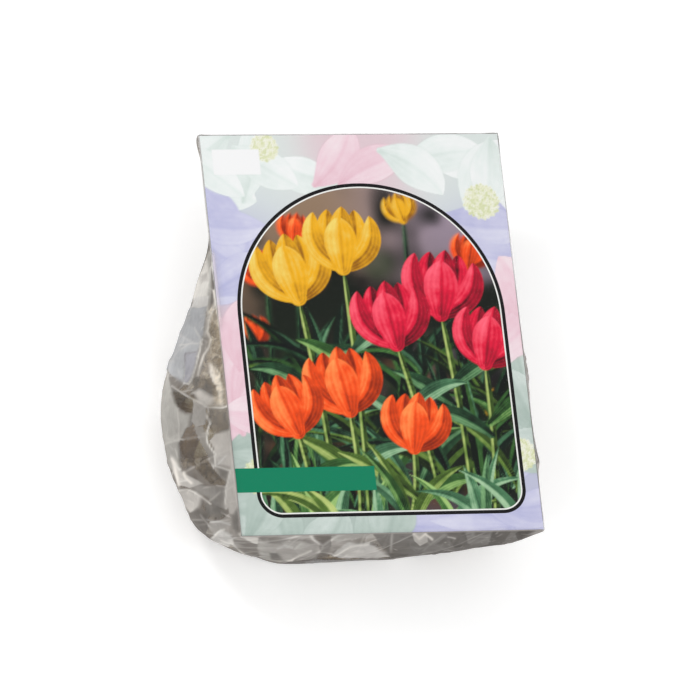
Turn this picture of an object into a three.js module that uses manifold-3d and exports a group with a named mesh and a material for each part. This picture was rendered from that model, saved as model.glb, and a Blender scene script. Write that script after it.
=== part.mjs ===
// Film bag of flower bulbs. A clear film bag with side gussets holds three large bulbs in a bed of
// wood shavings, behind a printed card that fills its front. The bag lies on its back.
// Millimetres, +Z up, X across the card, +Y towards the card's top edge.
import * as THREE from 'three';
import { mergeVertices } from 'three/addons/utils/BufferGeometryUtils.js';
import Module from 'manifold-3d';

const wasm = await Module();
wasm.setup();

// ---- Driving dimensions ----

const CARD_WIDTH = 200;
const CARD_HEIGHT = 269;
const CARD_THICKNESS = 0.6;
const CARD_UNDERSIDE = 74.9;   // height of the card's back over the plane that the bag lies on

const FILM = 0.6;              // film thickness
const GAP = 0.3;               // clearance between pieces that touch
const EDGE_ROOM = 0.5;         // room between the card's edge and the film round it
const PRINT_ROOM = 0.5;        // room between the card's face and the front film
const RIM_CHAMFER = 0.8;       // bevel where the front film turns round the card's edge
const INNER_BEVEL = 0.5;       // the same bevel inside the film
const TOP_SEAL_Z = 71.6;       // height of the back film at the top seal

const RIM_X = CARD_WIDTH / 2 + EDGE_ROOM + FILM;
const RIM_Y = CARD_HEIGHT / 2 + EDGE_ROOM + FILM;
const FRONT_Z = CARD_UNDERSIDE + CARD_THICKNESS + PRINT_ROOM + FILM;
const WRAP_Z = CARD_UNDERSIDE - GAP - FILM - 0.2;   // where the film has passed the card's back

const LOOP_SPACING = 12.5;     // distance between points round the bag
const WALL_RINGS = 6;
const BACK_RINGS = 8;
const FILM_CREASE = 3.2;       // how far the crumpled film stands out
const SHAVING_RELIEF = 2.2;    // how uneven the bed of shavings is
const BED_TOP = { inset: 2, bevel: 1.2 };   // the bed's upper edge, under the card

const SPOT = { x: -4, y: -50, radiusX: 62, radiusY: 46 };   // flat spot that the bag rests on
const BACK_POLE = { x: -4, y: -28 };                        // where the rings of the back film meet
// How the back film climbs from the flat spot to the thin top end.
const BACK_RISE = { startY: 8, endY: 98, endZ: 70.3, power: 1.78, ease: 0.08 };

// Crumpling: how deep under the front it sets in, how it fades towards the top end and towards the
// pole of the back, the share of it that goes inwards, and the film under the bag that is only dented.
const CRUMPLE = { depth: 20, endY: 100, fadeY: 60, poleFade: 100, inward: 0.1, dentZ: 6, dent: 0.35 };

const CONTENTS_END = 88;       // how far up the middle of the bag the shavings reach
const CONTENTS_DROOP = 54;     // how much less far they reach at its sides
const VENT_RADIUS = 3;
const VENT_PUNCH = { below: 9, above: 5 };
const VENT_ROWS_Y = [56, 82];
const VENT_COLUMNS_X = [-63, -21, 21, 63];

const BULB_SCALES = 3;         // thick fleshy scales that a bulb is made of
const SCALE_STEP = 0.07;       // how far a scale's edge stands over the next, as a share of the radius
const SCALE_SEAM = 0.05;       // how far the scales draw in between them, as a share of the radius
const BULB_SEGMENTS = 36;
// Short dried roots on the bulb's plate: their ring, size, how deep they start in, and how they lean.
const ROOTS = {
  count: 9, radius: 1.3, ring: 7.5, shortest: 4, longest: 7, depth: 3, lean: 0.35, spread: 0.3,
};
const BULB_CLEARANCE = 1.015;  // size of a bulb's seat in the shavings over the bulb itself
const ROOT_ROOM = { radius: 15, from: -20, to: -34 };   // pocket in the shavings round the roots
const WINDOW_RADIUS = 18;      // bare patch of a bulb that lies against the film

// Where each bulb lies, which way its crown points, and where it shows through the film.
const BULBS = [
  { name: 'bulb_1', at: [-94.5, -52, 38], crown: [-0.30, -0.05, 0.95], shows: [-0.85, -0.1, 0.5], turn: 0.4 },
  { name: 'bulb_2', at: [-6, -107.8, 38], crown: [-0.08, -0.99, 0.05], shows: [0, -1, 0], turn: 1.3 },
  { name: 'bulb_3', at: [81.5, -43, 38], crown: [0.98, 0.12, -0.12], shows: [1, 0, 0], turn: 2.2 },
];

// Half outline of a bulb: radius and height, from the foot of the stem hole over the shoulder to the
// root plate.
const BULB_OUTLINE = [
  [4.6, 6], [5.4, 14], [6.6, 21], [8.6, 25], [11.6, 26], [17.5, 24], [24, 19.6], [29.6, 13.4],
  [33.2, 5.6], [34.4, -2.4], [32.6, -10.4], [27.4, -17.6], [19.6, -22.6], [13.2, -24.2], [11.6, -26],
];

// Stations round the bag from the card's lower left corner, counter-clockwise from above. Each one
// gives the point on the rim of the front film, on the belly half way down the side, and on the heel
// where the side turns under. Near the top the belly tucks in, which is the gusset's fold.
const STATIONS = [
  { rim: [-RIM_X, -RIM_Y], belly: [-117, -121, 38], heel: [-91, -113, 4] },
  { rim: [-60, -RIM_Y], belly: [-66, -136, 38], heel: [-60, -131.5, 3] },
  { rim: [0, -RIM_Y], belly: [0, -137, 40], heel: [0, -131, 3] },
  { rim: [60, -RIM_Y], belly: [62, -134.5, 40], heel: [57, -126.5, 3] },
  { rim: [RIM_X, -RIM_Y], belly: [96, -129, 44], heel: [82, -115, 5] },
  { rim: [RIM_X, -95], belly: [108, -93, 40], heel: [96, -86, 4] },
  { rim: [RIM_X, -50], belly: [111, -48, 38], heel: [104, -46, 3] },
  { rim: [RIM_X, -10], belly: [110, -10, 40], heel: [102, -12, 4] },
  { rim: [RIM_X, 20], belly: [105, 20, 48], heel: [99, 17, 16] },
  { rim: [RIM_X, 44], belly: [98, 44, 62], heel: [98, 43, 50] },
  { rim: [RIM_X, 66], belly: [90, 65, 70], heel: [97, 64, 66] },
  { rim: [RIM_X, 100], belly: [96, 99, 71.5], heel: [97.5, 98, 69] },
  { rim: [RIM_X, RIM_Y], belly: [100.7, 135.4, 72.7], heel: [98.5, 134.4, TOP_SEAL_Z] },
  { rim: [88, RIM_Y], belly: [88, 135.5, 72.7], heel: [87, 134.4, TOP_SEAL_Z] },
  { rim: [-88, RIM_Y], belly: [-88, 135.5, 72.7], heel: [-87, 134.4, TOP_SEAL_Z] },
  { rim: [-RIM_X, RIM_Y], belly: [-100.7, 135.4, 72.7], heel: [-98.5, 134.4, TOP_SEAL_Z] },
  { rim: [-RIM_X, 100], belly: [-96, 99, 71.5], heel: [-97.5, 98, 69] },
  { rim: [-RIM_X, 66], belly: [-93, 65, 70], heel: [-99.5, 64, 67] },
  { rim: [-RIM_X, 44], belly: [-102, 44, 62], heel: [-105, 43, 49] },
  { rim: [-RIM_X, 20], belly: [-114, 19, 46], heel: [-108, 17, 15] },
  { rim: [-RIM_X, -10], belly: [-127, -12, 36], heel: [-112, -12, 4] },
  { rim: [-RIM_X, -50], belly: [-131.5, -46, 34], heel: [-112, -48, 3] },
  { rim: [-RIM_X, -95], belly: [-125, -88, 34], heel: [-106, -86, 4] },
];

// ---- Helpers ----

function seededRandom(seed) {
  let state = seed;
  return () => {
    state = (state + 0x6d2b79f5) | 0;
    let t = Math.imul(state ^ (state >>> 15), 1 | state);
    t = (t + Math.imul(t ^ (t >>> 7), 61 | t)) ^ t;
    return ((t ^ (t >>> 14)) >>> 0) / 4294967296;
  };
}

const clamp01 = (value) => Math.min(1, Math.max(0, value));

// A closed skin from rings of points, first ring uppermost, with a pole above and a pole below.
function closedSkin(topPole, rings, bottomPole) {
  const count = rings[0].length;
  const points = [topPole, ...rings.flat(), bottomPole];
  const last = points.length - 1;
  const at = (ring, i) => 1 + ring * count + (i % count);
  const index = [];
  for (let i = 0; i < count; i += 1) {
    index.push(0, at(0, i), at(0, i + 1));
    for (let ring = 0; ring < rings.length - 1; ring += 1) {
      index.push(at(ring, i), at(ring + 1, i), at(ring + 1, i + 1));
      index.push(at(ring, i), at(ring + 1, i + 1), at(ring, i + 1));
    }
    index.push(last, at(rings.length - 1, i + 1), at(rings.length - 1, i));
  }
  const geometry = new THREE.BufferGeometry().setFromPoints(points);
  geometry.setIndex(index);
  return geometry;
}

function toSolid(geometry) {
  const bare = geometry.clone();
  bare.deleteAttribute('normal');
  bare.deleteAttribute('uv');
  const merged = mergeVertices(bare, 1e-4);
  return new wasm.Manifold(new wasm.Mesh({
    numProp: 3,
    vertProperties: new Float32Array(merged.attributes.position.array),
    triVerts: new Uint32Array(merged.index.array),
  }));
}

function toGeometry(solid) {
  const mesh = solid.getMesh();
  const geometry = new THREE.BufferGeometry();
  geometry.setAttribute('position', new THREE.BufferAttribute(mesh.vertProperties, 3));
  geometry.setIndex(new THREE.BufferAttribute(mesh.triVerts, 1));
  geometry.computeVertexNormals();
  return geometry;
}

// ---- The bag's outer surface ----

// Height of the back film along the bag: flat under the bulbs, then climbing to the top seal.
function backHeight(y) {
  const { startY, endY, endZ, power, ease } = BACK_RISE;
  const eased = (t) => 1 - (1 - (t * t) / (t + ease)) ** power;
  const climb = eased(clamp01((y - startY) / (endY - startY))) / eased(1);
  const beyond = clamp01((y - endY) / (RIM_Y - endY));
  return endZ * climb + (TOP_SEAL_Z - endZ) * beyond;
}

function onRestingSpot(x, y) {
  return ((x - SPOT.x) / SPOT.radiusX) ** 2 + ((y - SPOT.y) / SPOT.radiusY) ** 2 < 1;
}

// Points round the bag: rim, belly and heel, with every station among them.
function sampleStations() {
  const count = STATIONS.length;
  const smooth = (key) => new THREE.CatmullRomCurve3(
    STATIONS.map((station) => new THREE.Vector3(...station[key])), true, 'centripetal');
  const belly = smooth('belly');
  const heel = smooth('heel');
  const samples = [];
  STATIONS.forEach((station, i) => {
    const from = new THREE.Vector2(...station.rim);
    const to = new THREE.Vector2(...STATIONS[(i + 1) % count].rim);
    const steps = Math.max(2, Math.round(from.distanceTo(to) / LOOP_SPACING));
    for (let step = 0; step < steps; step += 1) {
      const part = step / steps;
      samples.push({
        rim: from.clone().lerp(to, part),
        belly: belly.getPoint((i + part) / count),
        heel: heel.getPoint((i + part) / count),
      });
    }
  });
  return samples;
}

// A ring on the card's outline, moved in by inset, at height z.
function rimRing(samples, inset, z) {
  const factorX = (RIM_X - inset) / RIM_X;
  const factorY = (RIM_Y - inset) / RIM_Y;
  return samples.map(({ rim }) => new THREE.Vector3(rim.x * factorX, rim.y * factorY, z));
}

// The side from the rim over the belly to the heel, as a parabola through the three.
function wallRing(samples, q) {
  return samples.map(({ rim, belly, heel }) => new THREE.Vector3(rim.x, rim.y, WRAP_Z)
    .multiplyScalar((1 - q) * (1 - 2 * q))
    .addScaledVector(belly, 4 * q * (1 - q))
    .addScaledVector(heel, q * (2 * q - 1)));
}

function backRing(samples, reach) {
  return samples.map(({ heel }) => {
    const x = BACK_POLE.x + (heel.x - BACK_POLE.x) * reach;
    const y = BACK_POLE.y + (heel.y - BACK_POLE.y) * reach;
    const lift = (heel.z - backHeight(heel.y)) * reach ** 3;
    return new THREE.Vector3(x, y, onRestingSpot(x, y) ? 0 : backHeight(y) + lift);
  });
}

const samples = sampleStations();
const RIM_RINGS = 2;           // the two rings of the bevel round the rim

const outerPoles = [new THREE.Vector3(0, 0, FRONT_Z), new THREE.Vector3(BACK_POLE.x, BACK_POLE.y, 0)];

function smoothBag() {
  const rings = [
    rimRing(samples, RIM_CHAMFER, FRONT_Z),
    rimRing(samples, 0, FRONT_Z - RIM_CHAMFER),
    rimRing(samples, 0, WRAP_Z),
  ];
  for (let i = 1; i <= WALL_RINGS; i += 1) {
    rings.push(wallRing(samples, i / WALL_RINGS));
  }
  for (let i = BACK_RINGS; i >= 1; i -= 1) {
    rings.push(backRing(samples, i / (BACK_RINGS + 1)));
  }
  return rings;
}

// Moves the points of every ring below the bevel along the surface's normals, by amount(point) each.
function moveAlongNormals(rings, amount) {
  const skin = closedSkin(outerPoles[0], rings, outerPoles[1]);
  skin.computeVertexNormals();
  const normal = new THREE.Vector3();
  return rings.map((ring, k) => ring.map((point, i) => {
    if (k < RIM_RINGS) {
      return point.clone();
    }
    normal.fromBufferAttribute(skin.attributes.normal, 1 + k * ring.length + i);
    return point.clone().addScaledVector(normal, amount(point));
  }));
}

// How freely the surface can be uneven: from 0 at the thin ends to 1 where the bag is full.
function slack({ x, y, z }) {
  const fromPole = Math.hypot(x - BACK_POLE.x, y - BACK_POLE.y);
  return clamp01((FRONT_Z - z) / CRUMPLE.depth)
    * clamp01((CRUMPLE.endY - y) / CRUMPLE.fadeY)
    * clamp01(fromPole / CRUMPLE.poleFade);
}

// The film is crumpled all over but for the front and the resting spot.
function crumpledBag() {
  const random = seededRandom(11);
  return moveAlongNormals(smoothBag(), (point) => {
    const draw = random();
    if (point.z === 0 || point.z >= WRAP_Z) {
      return 0;
    }
    const share = point.z < CRUMPLE.dentZ ? -CRUMPLE.dent * draw : draw - CRUMPLE.inward;
    return FILM_CREASE * slack(point) * share;
  });
}

// ---- Pieces ----

function cylinderBetween(from, to, radius, sides) {
  const axis = to.clone().sub(from);
  const geometry = new THREE.CylinderGeometry(radius, radius, axis.length(), sides);
  geometry.applyQuaternion(new THREE.Quaternion().setFromUnitVectors(
    new THREE.Vector3(0, 1, 0), axis.clone().normalize()));
  const middle = from.clone().add(to).multiplyScalar(0.5);
  return geometry.translate(middle.x, middle.y, middle.z);
}

function filmBag(outerRings) {
  const inner = moveAlongNormals(outerRings, () => -FILM);
  inner[0] = rimRing(samples, FILM + INNER_BEVEL, FRONT_Z - FILM);
  inner[1] = rimRing(samples, FILM, FRONT_Z - FILM - INNER_BEVEL);
  const [top, bottom] = outerPoles;
  const outside = toSolid(closedSkin(top, outerRings, bottom));
  const inside = toSolid(closedSkin(
    new THREE.Vector3(top.x, top.y, top.z - FILM), inner,
    new THREE.Vector3(bottom.x, bottom.y, bottom.z + FILM)));
  let film = outside.subtract(inside);
  for (const y of VENT_ROWS_Y) {
    const slope = new THREE.Vector3(0, backHeight(y + 1) - backHeight(y - 1), -2).normalize();
    for (const x of VENT_COLUMNS_X) {
      const centre = new THREE.Vector3(x, y, backHeight(y));
      const from = centre.clone().addScaledVector(slope, VENT_PUNCH.below);
      const to = centre.clone().addScaledVector(slope, -VENT_PUNCH.above);
      film = film.subtract(toSolid(cylinderBetween(from, to, VENT_RADIUS, 12)));
    }
  }
  return toGeometry(film);
}

function pictureCard() {
  return new THREE.BoxGeometry(CARD_WIDTH, CARD_HEIGHT, CARD_THICKNESS)
    .translate(0, 0, CARD_UNDERSIDE + CARD_THICKNESS / 2);
}

// A bulb upright on its own axis. Its scales overlap, so the surface steps down at each one's edge.
function bulbBody(withStemHole) {
  const outline = withStemHole ? BULB_OUTLINE : BULB_OUTLINE.slice(4);
  const rings = outline.map(([radius, height]) => {
    const strength = clamp01((height + 22) / 40);
    const ring = [];
    for (let i = 0; i < BULB_SEGMENTS; i += 1) {
      const angle = (i / BULB_SEGMENTS) * Math.PI * 2;
      const acrossScale = ((i * BULB_SCALES) / BULB_SEGMENTS) % 1;
      const step = SCALE_STEP * (0.5 - acrossScale) - SCALE_SEAM * (1 - Math.sin(Math.PI * acrossScale));
      const reach = radius * (1 + strength * step);
      ring.push(new THREE.Vector3(reach * Math.cos(angle), reach * Math.sin(angle), height));
    }
    return ring;
  });
  const [, topHeight] = outline[0];
  const [, bottomHeight] = outline[outline.length - 1];
  return toSolid(closedSkin(
    new THREE.Vector3(0, 0, withStemHole ? topHeight - 2 : topHeight), rings,
    new THREE.Vector3(0, 0, bottomHeight)));
}

function rootStubs(seed) {
  const random = seededRandom(seed);
  const [, plateHeight] = BULB_OUTLINE[BULB_OUTLINE.length - 1];
  let roots = null;
  for (let i = 0; i < ROOTS.count; i += 1) {
    const angle = ((i + 0.6 * random()) / ROOTS.count) * Math.PI * 2;
    const length = ROOTS.shortest + (ROOTS.longest - ROOTS.shortest) * random();
    const root = new THREE.ConeGeometry(ROOTS.radius, length + ROOTS.depth, 5, 1);
    root.rotateX(-Math.PI / 2);
    root.translate(0, 0, -length / 2);
    root.rotateY(ROOTS.lean + ROOTS.spread * random());
    root.translate(-ROOTS.ring, 0, plateHeight + 1);
    root.rotateZ(angle);
    const solid = toSolid(root);
    roots = roots ? roots.add(solid) : solid;
  }
  return roots;
}

function placement({ at, crown, turn }) {
  const aim = new THREE.Quaternion().setFromUnitVectors(
    new THREE.Vector3(0, 0, 1), new THREE.Vector3(...crown).normalize());
  const spin = new THREE.Quaternion().setFromAxisAngle(new THREE.Vector3(0, 0, 1), turn);
  return { position: new THREE.Vector3(...at), quaternion: aim.multiply(spin) };
}

// What lies past the end of the shavings, which is ragged and reaches less far at the sides.
function pastContents(random) {
  const side = 140;
  const edge = [];
  for (let x = -side; x <= side; x += 10) {
    const droop = CONTENTS_DROOP * Math.min(1, (x / 100) ** 8);
    edge.push(new THREE.Vector2(x, CONTENTS_END - droop + 5 * random()));
  }
  edge.push(new THREE.Vector2(side, 160), new THREE.Vector2(-side, 160));
  const beyond = new THREE.ExtrudeGeometry(new THREE.Shape(edge), { depth: 90, bevelEnabled: false });
  return toSolid(beyond.translate(0, 0, -5));
}

// A bulb's seat in the shavings, with a pocket for its roots and a bare patch where it meets the film.
function bulbRoom(bulb) {
  const { position, quaternion } = placement(bulb);
  const matrix = new THREE.Matrix4().compose(
    position, quaternion, new THREE.Vector3(BULB_CLEARANCE, BULB_CLEARANCE, BULB_CLEARANCE));
  const rootRoom = cylinderBetween(
    new THREE.Vector3(0, 0, ROOT_ROOM.from), new THREE.Vector3(0, 0, ROOT_ROOM.to), ROOT_ROOM.radius, 16);
  const seat = toGeometry(bulbBody(false).add(toSolid(rootRoom))).applyMatrix4(matrix);
  const outward = new THREE.Vector3(...bulb.shows).normalize();
  const window = cylinderBetween(
    position, position.clone().addScaledVector(outward, 60), WINDOW_RADIUS, 18);
  return toSolid(seat).add(toSolid(window));
}

// The bed fills the bag under the card up to CONTENTS_END.
function shavingsBed(outerRings) {
  const random = seededRandom(23);
  const depth = (point) => FILM + GAP + SHAVING_RELIEF * slack(point) * random();
  const rings = moveAlongNormals(outerRings, (point) => -depth(point));
  const topZ = CARD_UNDERSIDE - GAP;
  rings[0] = rimRing(samples, FILM + BED_TOP.inset + 1, topZ);
  rings[1] = rimRing(samples, FILM + BED_TOP.inset, topZ - BED_TOP.bevel);
  rings[2] = rimRing(samples, FILM + BED_TOP.inset, topZ - 2 * BED_TOP.bevel);
  let bed = toSolid(closedSkin(
    new THREE.Vector3(0, 0, topZ), rings,
    new THREE.Vector3(BACK_POLE.x, BACK_POLE.y, FILM + GAP)));
  bed = bed.subtract(pastContents(random));
  for (const bulb of BULBS) {
    bed = bed.subtract(bulbRoom(bulb));
  }
  return toGeometry(bed);
}

// ---- Assembly ----

const FINISH = {
  card: { color: 0xc8ccd8, roughness: 0.45, metalness: 0 },
  film: { color: 0xb4afa9, roughness: 0.2, metalness: 0, transparent: true, opacity: 0.4 },
  shavings: { color: 0xbfa97f, roughness: 0.9, metalness: 0 },
  bulb: { color: 0xd9c59a, roughness: 0.7, metalness: 0 },
};

function named(name, geometry, finish) {
  const mesh = new THREE.Mesh(geometry, new THREE.MeshStandardMaterial(finish));
  mesh.name = name;
  return mesh;
}

const part = new THREE.Group();
const outerRings = crumpledBag();
part.add(named('bag', filmBag(outerRings), FINISH.film));
part.add(named('card', pictureCard(), FINISH.card));
part.add(named('packing', shavingsBed(outerRings), FINISH.shavings));
for (const bulb of BULBS) {
  const mesh = named(bulb.name, toGeometry(bulbBody(true).add(rootStubs(5))), FINISH.bulb);
  const { position, quaternion } = placement(bulb);
  mesh.position.copy(position);
  mesh.quaternion.copy(quaternion);
  part.add(mesh);
}

// The origin is the middle of the bottom of the part's box.
part.updateMatrixWorld(true);
const box = new THREE.Box3().setFromObject(part, true);
part.position.set(-(box.min.x + box.max.x) / 2, -(box.min.y + box.max.y) / 2, -box.min.z);

export default part;
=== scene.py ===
import math
import random

import bpy
import numpy as np
from mathutils import Matrix, Quaternion, Vector, noise
from mathutils.kdtree import KDTree


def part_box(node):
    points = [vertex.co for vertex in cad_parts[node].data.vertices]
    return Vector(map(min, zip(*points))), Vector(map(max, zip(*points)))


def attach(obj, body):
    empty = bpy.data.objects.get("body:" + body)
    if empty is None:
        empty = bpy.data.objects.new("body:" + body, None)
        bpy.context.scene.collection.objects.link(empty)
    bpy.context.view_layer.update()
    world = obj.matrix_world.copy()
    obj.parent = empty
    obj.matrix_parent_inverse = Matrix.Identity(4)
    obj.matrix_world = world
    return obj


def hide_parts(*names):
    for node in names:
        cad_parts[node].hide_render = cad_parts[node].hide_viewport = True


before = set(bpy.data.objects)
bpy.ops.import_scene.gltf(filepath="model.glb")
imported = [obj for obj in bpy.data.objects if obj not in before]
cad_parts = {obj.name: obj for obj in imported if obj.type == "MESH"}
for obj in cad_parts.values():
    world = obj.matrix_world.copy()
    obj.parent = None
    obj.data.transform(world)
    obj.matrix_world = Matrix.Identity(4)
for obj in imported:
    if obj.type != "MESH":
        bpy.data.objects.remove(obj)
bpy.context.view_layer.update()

card_low, card_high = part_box("card")
CARD_MIDDLE = np.array([(card_low.x + card_high.x) / 2, (card_low.y + card_high.y) / 2, 0.0])


def in_frame(points):
    """Millimetres in the bag's own frame to metres in the CAD frame."""
    return np.asarray(points, float) * 0.001 + CARD_MIDDLE


# ---- Camera ----

# The camera's own axes and what it looks at, in the bag's frame.
VIEW_RIGHT = np.array([0.95866, -0.10480, 0.26455])
VIEW_UP = np.array([0.01436, 0.94634, 0.32287])
VIEW_BACK = np.array([-0.28419, -0.30573, 0.90872])
VIEW_AIM = np.array([0.0, 0.0, 75.5]) - 13.55 * VIEW_RIGHT - 11.46 * VIEW_UP
VIEW_DISTANCE = 5000.0
VIEW_WIDTH = 448.1             # what the camera sees at VIEW_AIM
PICTURE = 700                  # width and height of the camera's picture in pixels


def make_camera():
    """A camera far off, a little to the lower left of straight above the card."""
    data = bpy.data.cameras.new("camera")
    data.sensor_width = 36
    data.lens = 36 * VIEW_DISTANCE / VIEW_WIDTH
    data.clip_start = 0.5
    data.clip_end = 50
    camera = bpy.data.objects.new("camera", data)
    bpy.context.scene.collection.objects.link(camera)
    place = in_frame(VIEW_AIM + VIEW_DISTANCE * VIEW_BACK)
    rows = np.column_stack([VIEW_RIGHT, VIEW_UP, VIEW_BACK, place]).tolist()
    camera.matrix_world = Matrix(rows + [[0, 0, 0, 1]])
    bpy.context.scene.camera = camera


def in_view(points):
    """Where points of the bag lie in the camera's picture, in its pixels."""
    away = np.asarray(points, float) - VIEW_AIM
    depth = VIEW_DISTANCE / (VIEW_DISTANCE - away @ VIEW_BACK)
    scale = PICTURE / VIEW_WIDTH * depth
    return np.stack([
        PICTURE / 2 + (away @ VIEW_RIGHT) * scale,
        PICTURE / 2 - (away @ VIEW_UP) * scale,
    ], axis=-1)


make_camera()


# ---- Small helpers ----

GOLDEN_ANGLE = 2.39996         # turn from one to the next in an even spiral


def clamp01(value):
    """The value, but not below 0 or above 1."""
    return np.clip(value, 0.0, 1.0)


def smooth(low, high, value):
    """From 0 at low to 1 at high, eased at both ends. Low may be the larger of the two."""
    t = clamp01((value - low) / (high - low))
    return t * t * (3 - 2 * t)


def srgb(code):
    """A colour such as #A7A19C as linear red, green and blue."""
    parts = [int(code[i:i + 2], 16) / 255 for i in (1, 3, 5)]
    return np.array([p / 12.92 if p <= 0.04045 else ((p + 0.055) / 1.055) ** 2.4 for p in parts])


def mixed(a, b, share):
    """The colour a where share is 0, and b where it is 1."""
    share = np.asarray(share)[..., None]
    return a * (1 - share) + b * share


def shaded(tones, value):
    """A colour between dark, middle and light tones, for values from 0 to 1."""
    dark, middle, light = (srgb(tone) for tone in tones)
    return mixed(mixed(dark, middle, clamp01(value * 2)), light, clamp01(value * 2 - 1))


def lattice(cells, seed):
    """A random number from 0 to 1 for each cell of a grid."""
    mixed_up = cells @ np.array([73856093, 19349663, 83492791][:cells.shape[-1]]) + seed * 2654435
    mixed_up = (mixed_up ^ (mixed_up >> 13)) * 1274126177 & 0xffffffff
    mixed_up = (mixed_up ^ (mixed_up >> 15)) * 2246822519 & 0xffffffff
    return ((mixed_up ^ (mixed_up >> 16)) & 0xffff) / 0xffff


def wander(points, size, seed):
    """Smooth noise from -1 to 1 that changes over the given size."""
    place = np.asarray(points, float) / size + seed * 3.17
    cell = np.floor(place).astype(np.int64)
    part = place - cell
    part = part * part * (3 - 2 * part)
    total = np.zeros(len(place))
    for corner in np.ndindex(*(2,) * place.shape[1]):
        weight = np.prod(np.where(np.array(corner) == 1, part, 1 - part), axis=1)
        total += weight * lattice(cell + np.array(corner), seed)
    return 2 * total - 1


def make_piece(name, points, faces, material, colours):
    """A smooth piece on the root body from points in millimetres, with a colour per point."""
    mesh = bpy.data.meshes.new(name)
    mesh.from_pydata(in_frame(points).tolist(), [], [list(map(int, face)) for face in faces])
    mesh.polygons.foreach_set("use_smooth", [True] * len(mesh.polygons))
    layer = mesh.color_attributes.new("tone", "FLOAT_COLOR", "POINT")
    layer.data.foreach_set("color", np.asarray(colours, float).ravel())
    mesh.materials.append(material)
    mesh.update()
    piece = bpy.data.objects.new(name, mesh)
    bpy.context.scene.collection.objects.link(piece)
    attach(piece, "root")
    return piece


def add_node(tree, kind, inputs=None, **settings):
    """A new node, with each input linked to a socket or set to a constant."""
    node = tree.nodes.new("ShaderNode" + kind)
    for key, value in settings.items():
        setattr(node, key, value)
    for key, value in (inputs or {}).items():
        if isinstance(value, bpy.types.NodeSocket):
            tree.links.new(value, node.inputs[key])
        else:
            node.inputs[key].default_value = value
    return node


class Nodes:
    """The node tree of a new material."""

    def __init__(self, name):
        self.material = bpy.data.materials.new(name)
        self.material.use_nodes = True
        self.tree = self.material.node_tree
        self.tree.nodes.clear()

    def add(self, kind, inputs=None, **settings):
        """A new node of the material."""
        return add_node(self.tree, kind, inputs, **settings)

    def coordinates(self):
        """Object coordinates in millimetres."""
        where = self.add("TexCoord").outputs["Object"]
        scaled = self.add("VectorMath", {0: where, 1: (1000, 1000, 1000)}, operation="MULTIPLY")
        return scaled.outputs[0]

    def ramp(self, value, stops):
        """A colour that runs through the stops, each a place from 0 to 1 and a colour."""
        node = self.add("ValToRGB", {"Fac": value})
        elements = node.color_ramp.elements
        while len(elements) < len(stops):
            elements.new(0.5)
        for element, (place, colour) in zip(elements, stops):
            element.position = place
            element.color = (*srgb(colour), 1)
        return node.outputs["Color"]

    def times(self, share, colour, shade):
        """A colour multiplied by a shade, as far as share says."""
        mix = self.add("Mix", {0: share, 6: colour, 7: shade}, data_type="RGBA",
                       blend_type="MULTIPLY")
        return mix.outputs[2]

    def finish(self, inputs):
        """The material, as a principled surface with the given inputs."""
        surface = self.add("BsdfPrincipled", inputs)
        self.add("OutputMaterial", {"Surface": surface.outputs[0]})
        return self.material


# ---- The bag's smooth form, from the same stations as the solids ----

RIM_X = 100.7                  # half widths of the film round the card
RIM_Y = 135.2
FRONT_Z = 76.6                 # the film over the card
WRAP_Z = 73.8                  # where the film leaves the card's edge
RIM_BEVEL = 0.4
RIM_DROP = 0.1
TOP_SEAL_Z = 71.6              # the underside of the seal across the top end
BACK_POLE = np.array([-4.0, -28.0])
SPOT = (-4.0, -50.0, 62.0, 46.0)   # the flat spot that the bag lies on: middle and half widths
CLIMB_START = 8.0              # y where the back film starts to climb, y where it ends, and its
CLIMB_END = 98.0               # height there
CLIMB_HEIGHT = 70.3

# Rim, belly and heel of the side, from the card's lower left corner, counter-clockwise from above.
STATIONS = [
    ((-RIM_X, -RIM_Y), (-117, -121, 38), (-91, -113, 4)),
    ((-60, -RIM_Y), (-66, -136, 38), (-60, -131.5, 3)),
    ((0, -RIM_Y), (0, -137, 40), (0, -131, 3)),
    ((60, -RIM_Y), (62, -134.5, 40), (57, -126.5, 3)),
    ((RIM_X, -RIM_Y), (96, -129, 44), (82, -115, 5)),
    ((RIM_X, -95), (108, -93, 40), (96, -86, 4)),
    ((RIM_X, -50), (111, -48, 38), (104, -46, 3)),
    ((RIM_X, -10), (110, -10, 40), (102, -12, 4)),
    ((RIM_X, 20), (105, 20, 48), (99, 17, 16)),
    ((RIM_X, 44), (98, 44, 62), (98, 43, 50)),
    ((RIM_X, 66), (90, 65, 70), (97, 64, 66)),
    ((RIM_X, 100), (96, 99, 71.5), (97.5, 98, 69)),
    ((RIM_X, RIM_Y), (100.7, 135.4, 72.7), (98.5, 134.4, TOP_SEAL_Z)),
    ((88, RIM_Y), (88, 135.5, 72.7), (87, 134.4, TOP_SEAL_Z)),
    ((-88, RIM_Y), (-88, 135.5, 72.7), (-87, 134.4, TOP_SEAL_Z)),
    ((-RIM_X, RIM_Y), (-100.7, 135.4, 72.7), (-98.5, 134.4, TOP_SEAL_Z)),
    ((-RIM_X, 100), (-96, 99, 71.5), (-97.5, 98, 69)),
    ((-RIM_X, 66), (-93, 65, 70), (-99.5, 64, 67)),
    ((-RIM_X, 44), (-102, 44, 62), (-105, 43, 49)),
    ((-RIM_X, 20), (-114, 19, 46), (-108, 17, 15)),
    ((-RIM_X, -10), (-127, -12, 36), (-112, -12, 4)),
    ((-RIM_X, -50), (-131.5, -46, 34), (-112, -48, 3)),
    ((-RIM_X, -95), (-125, -88, 34), (-106, -86, 4)),
]


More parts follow.
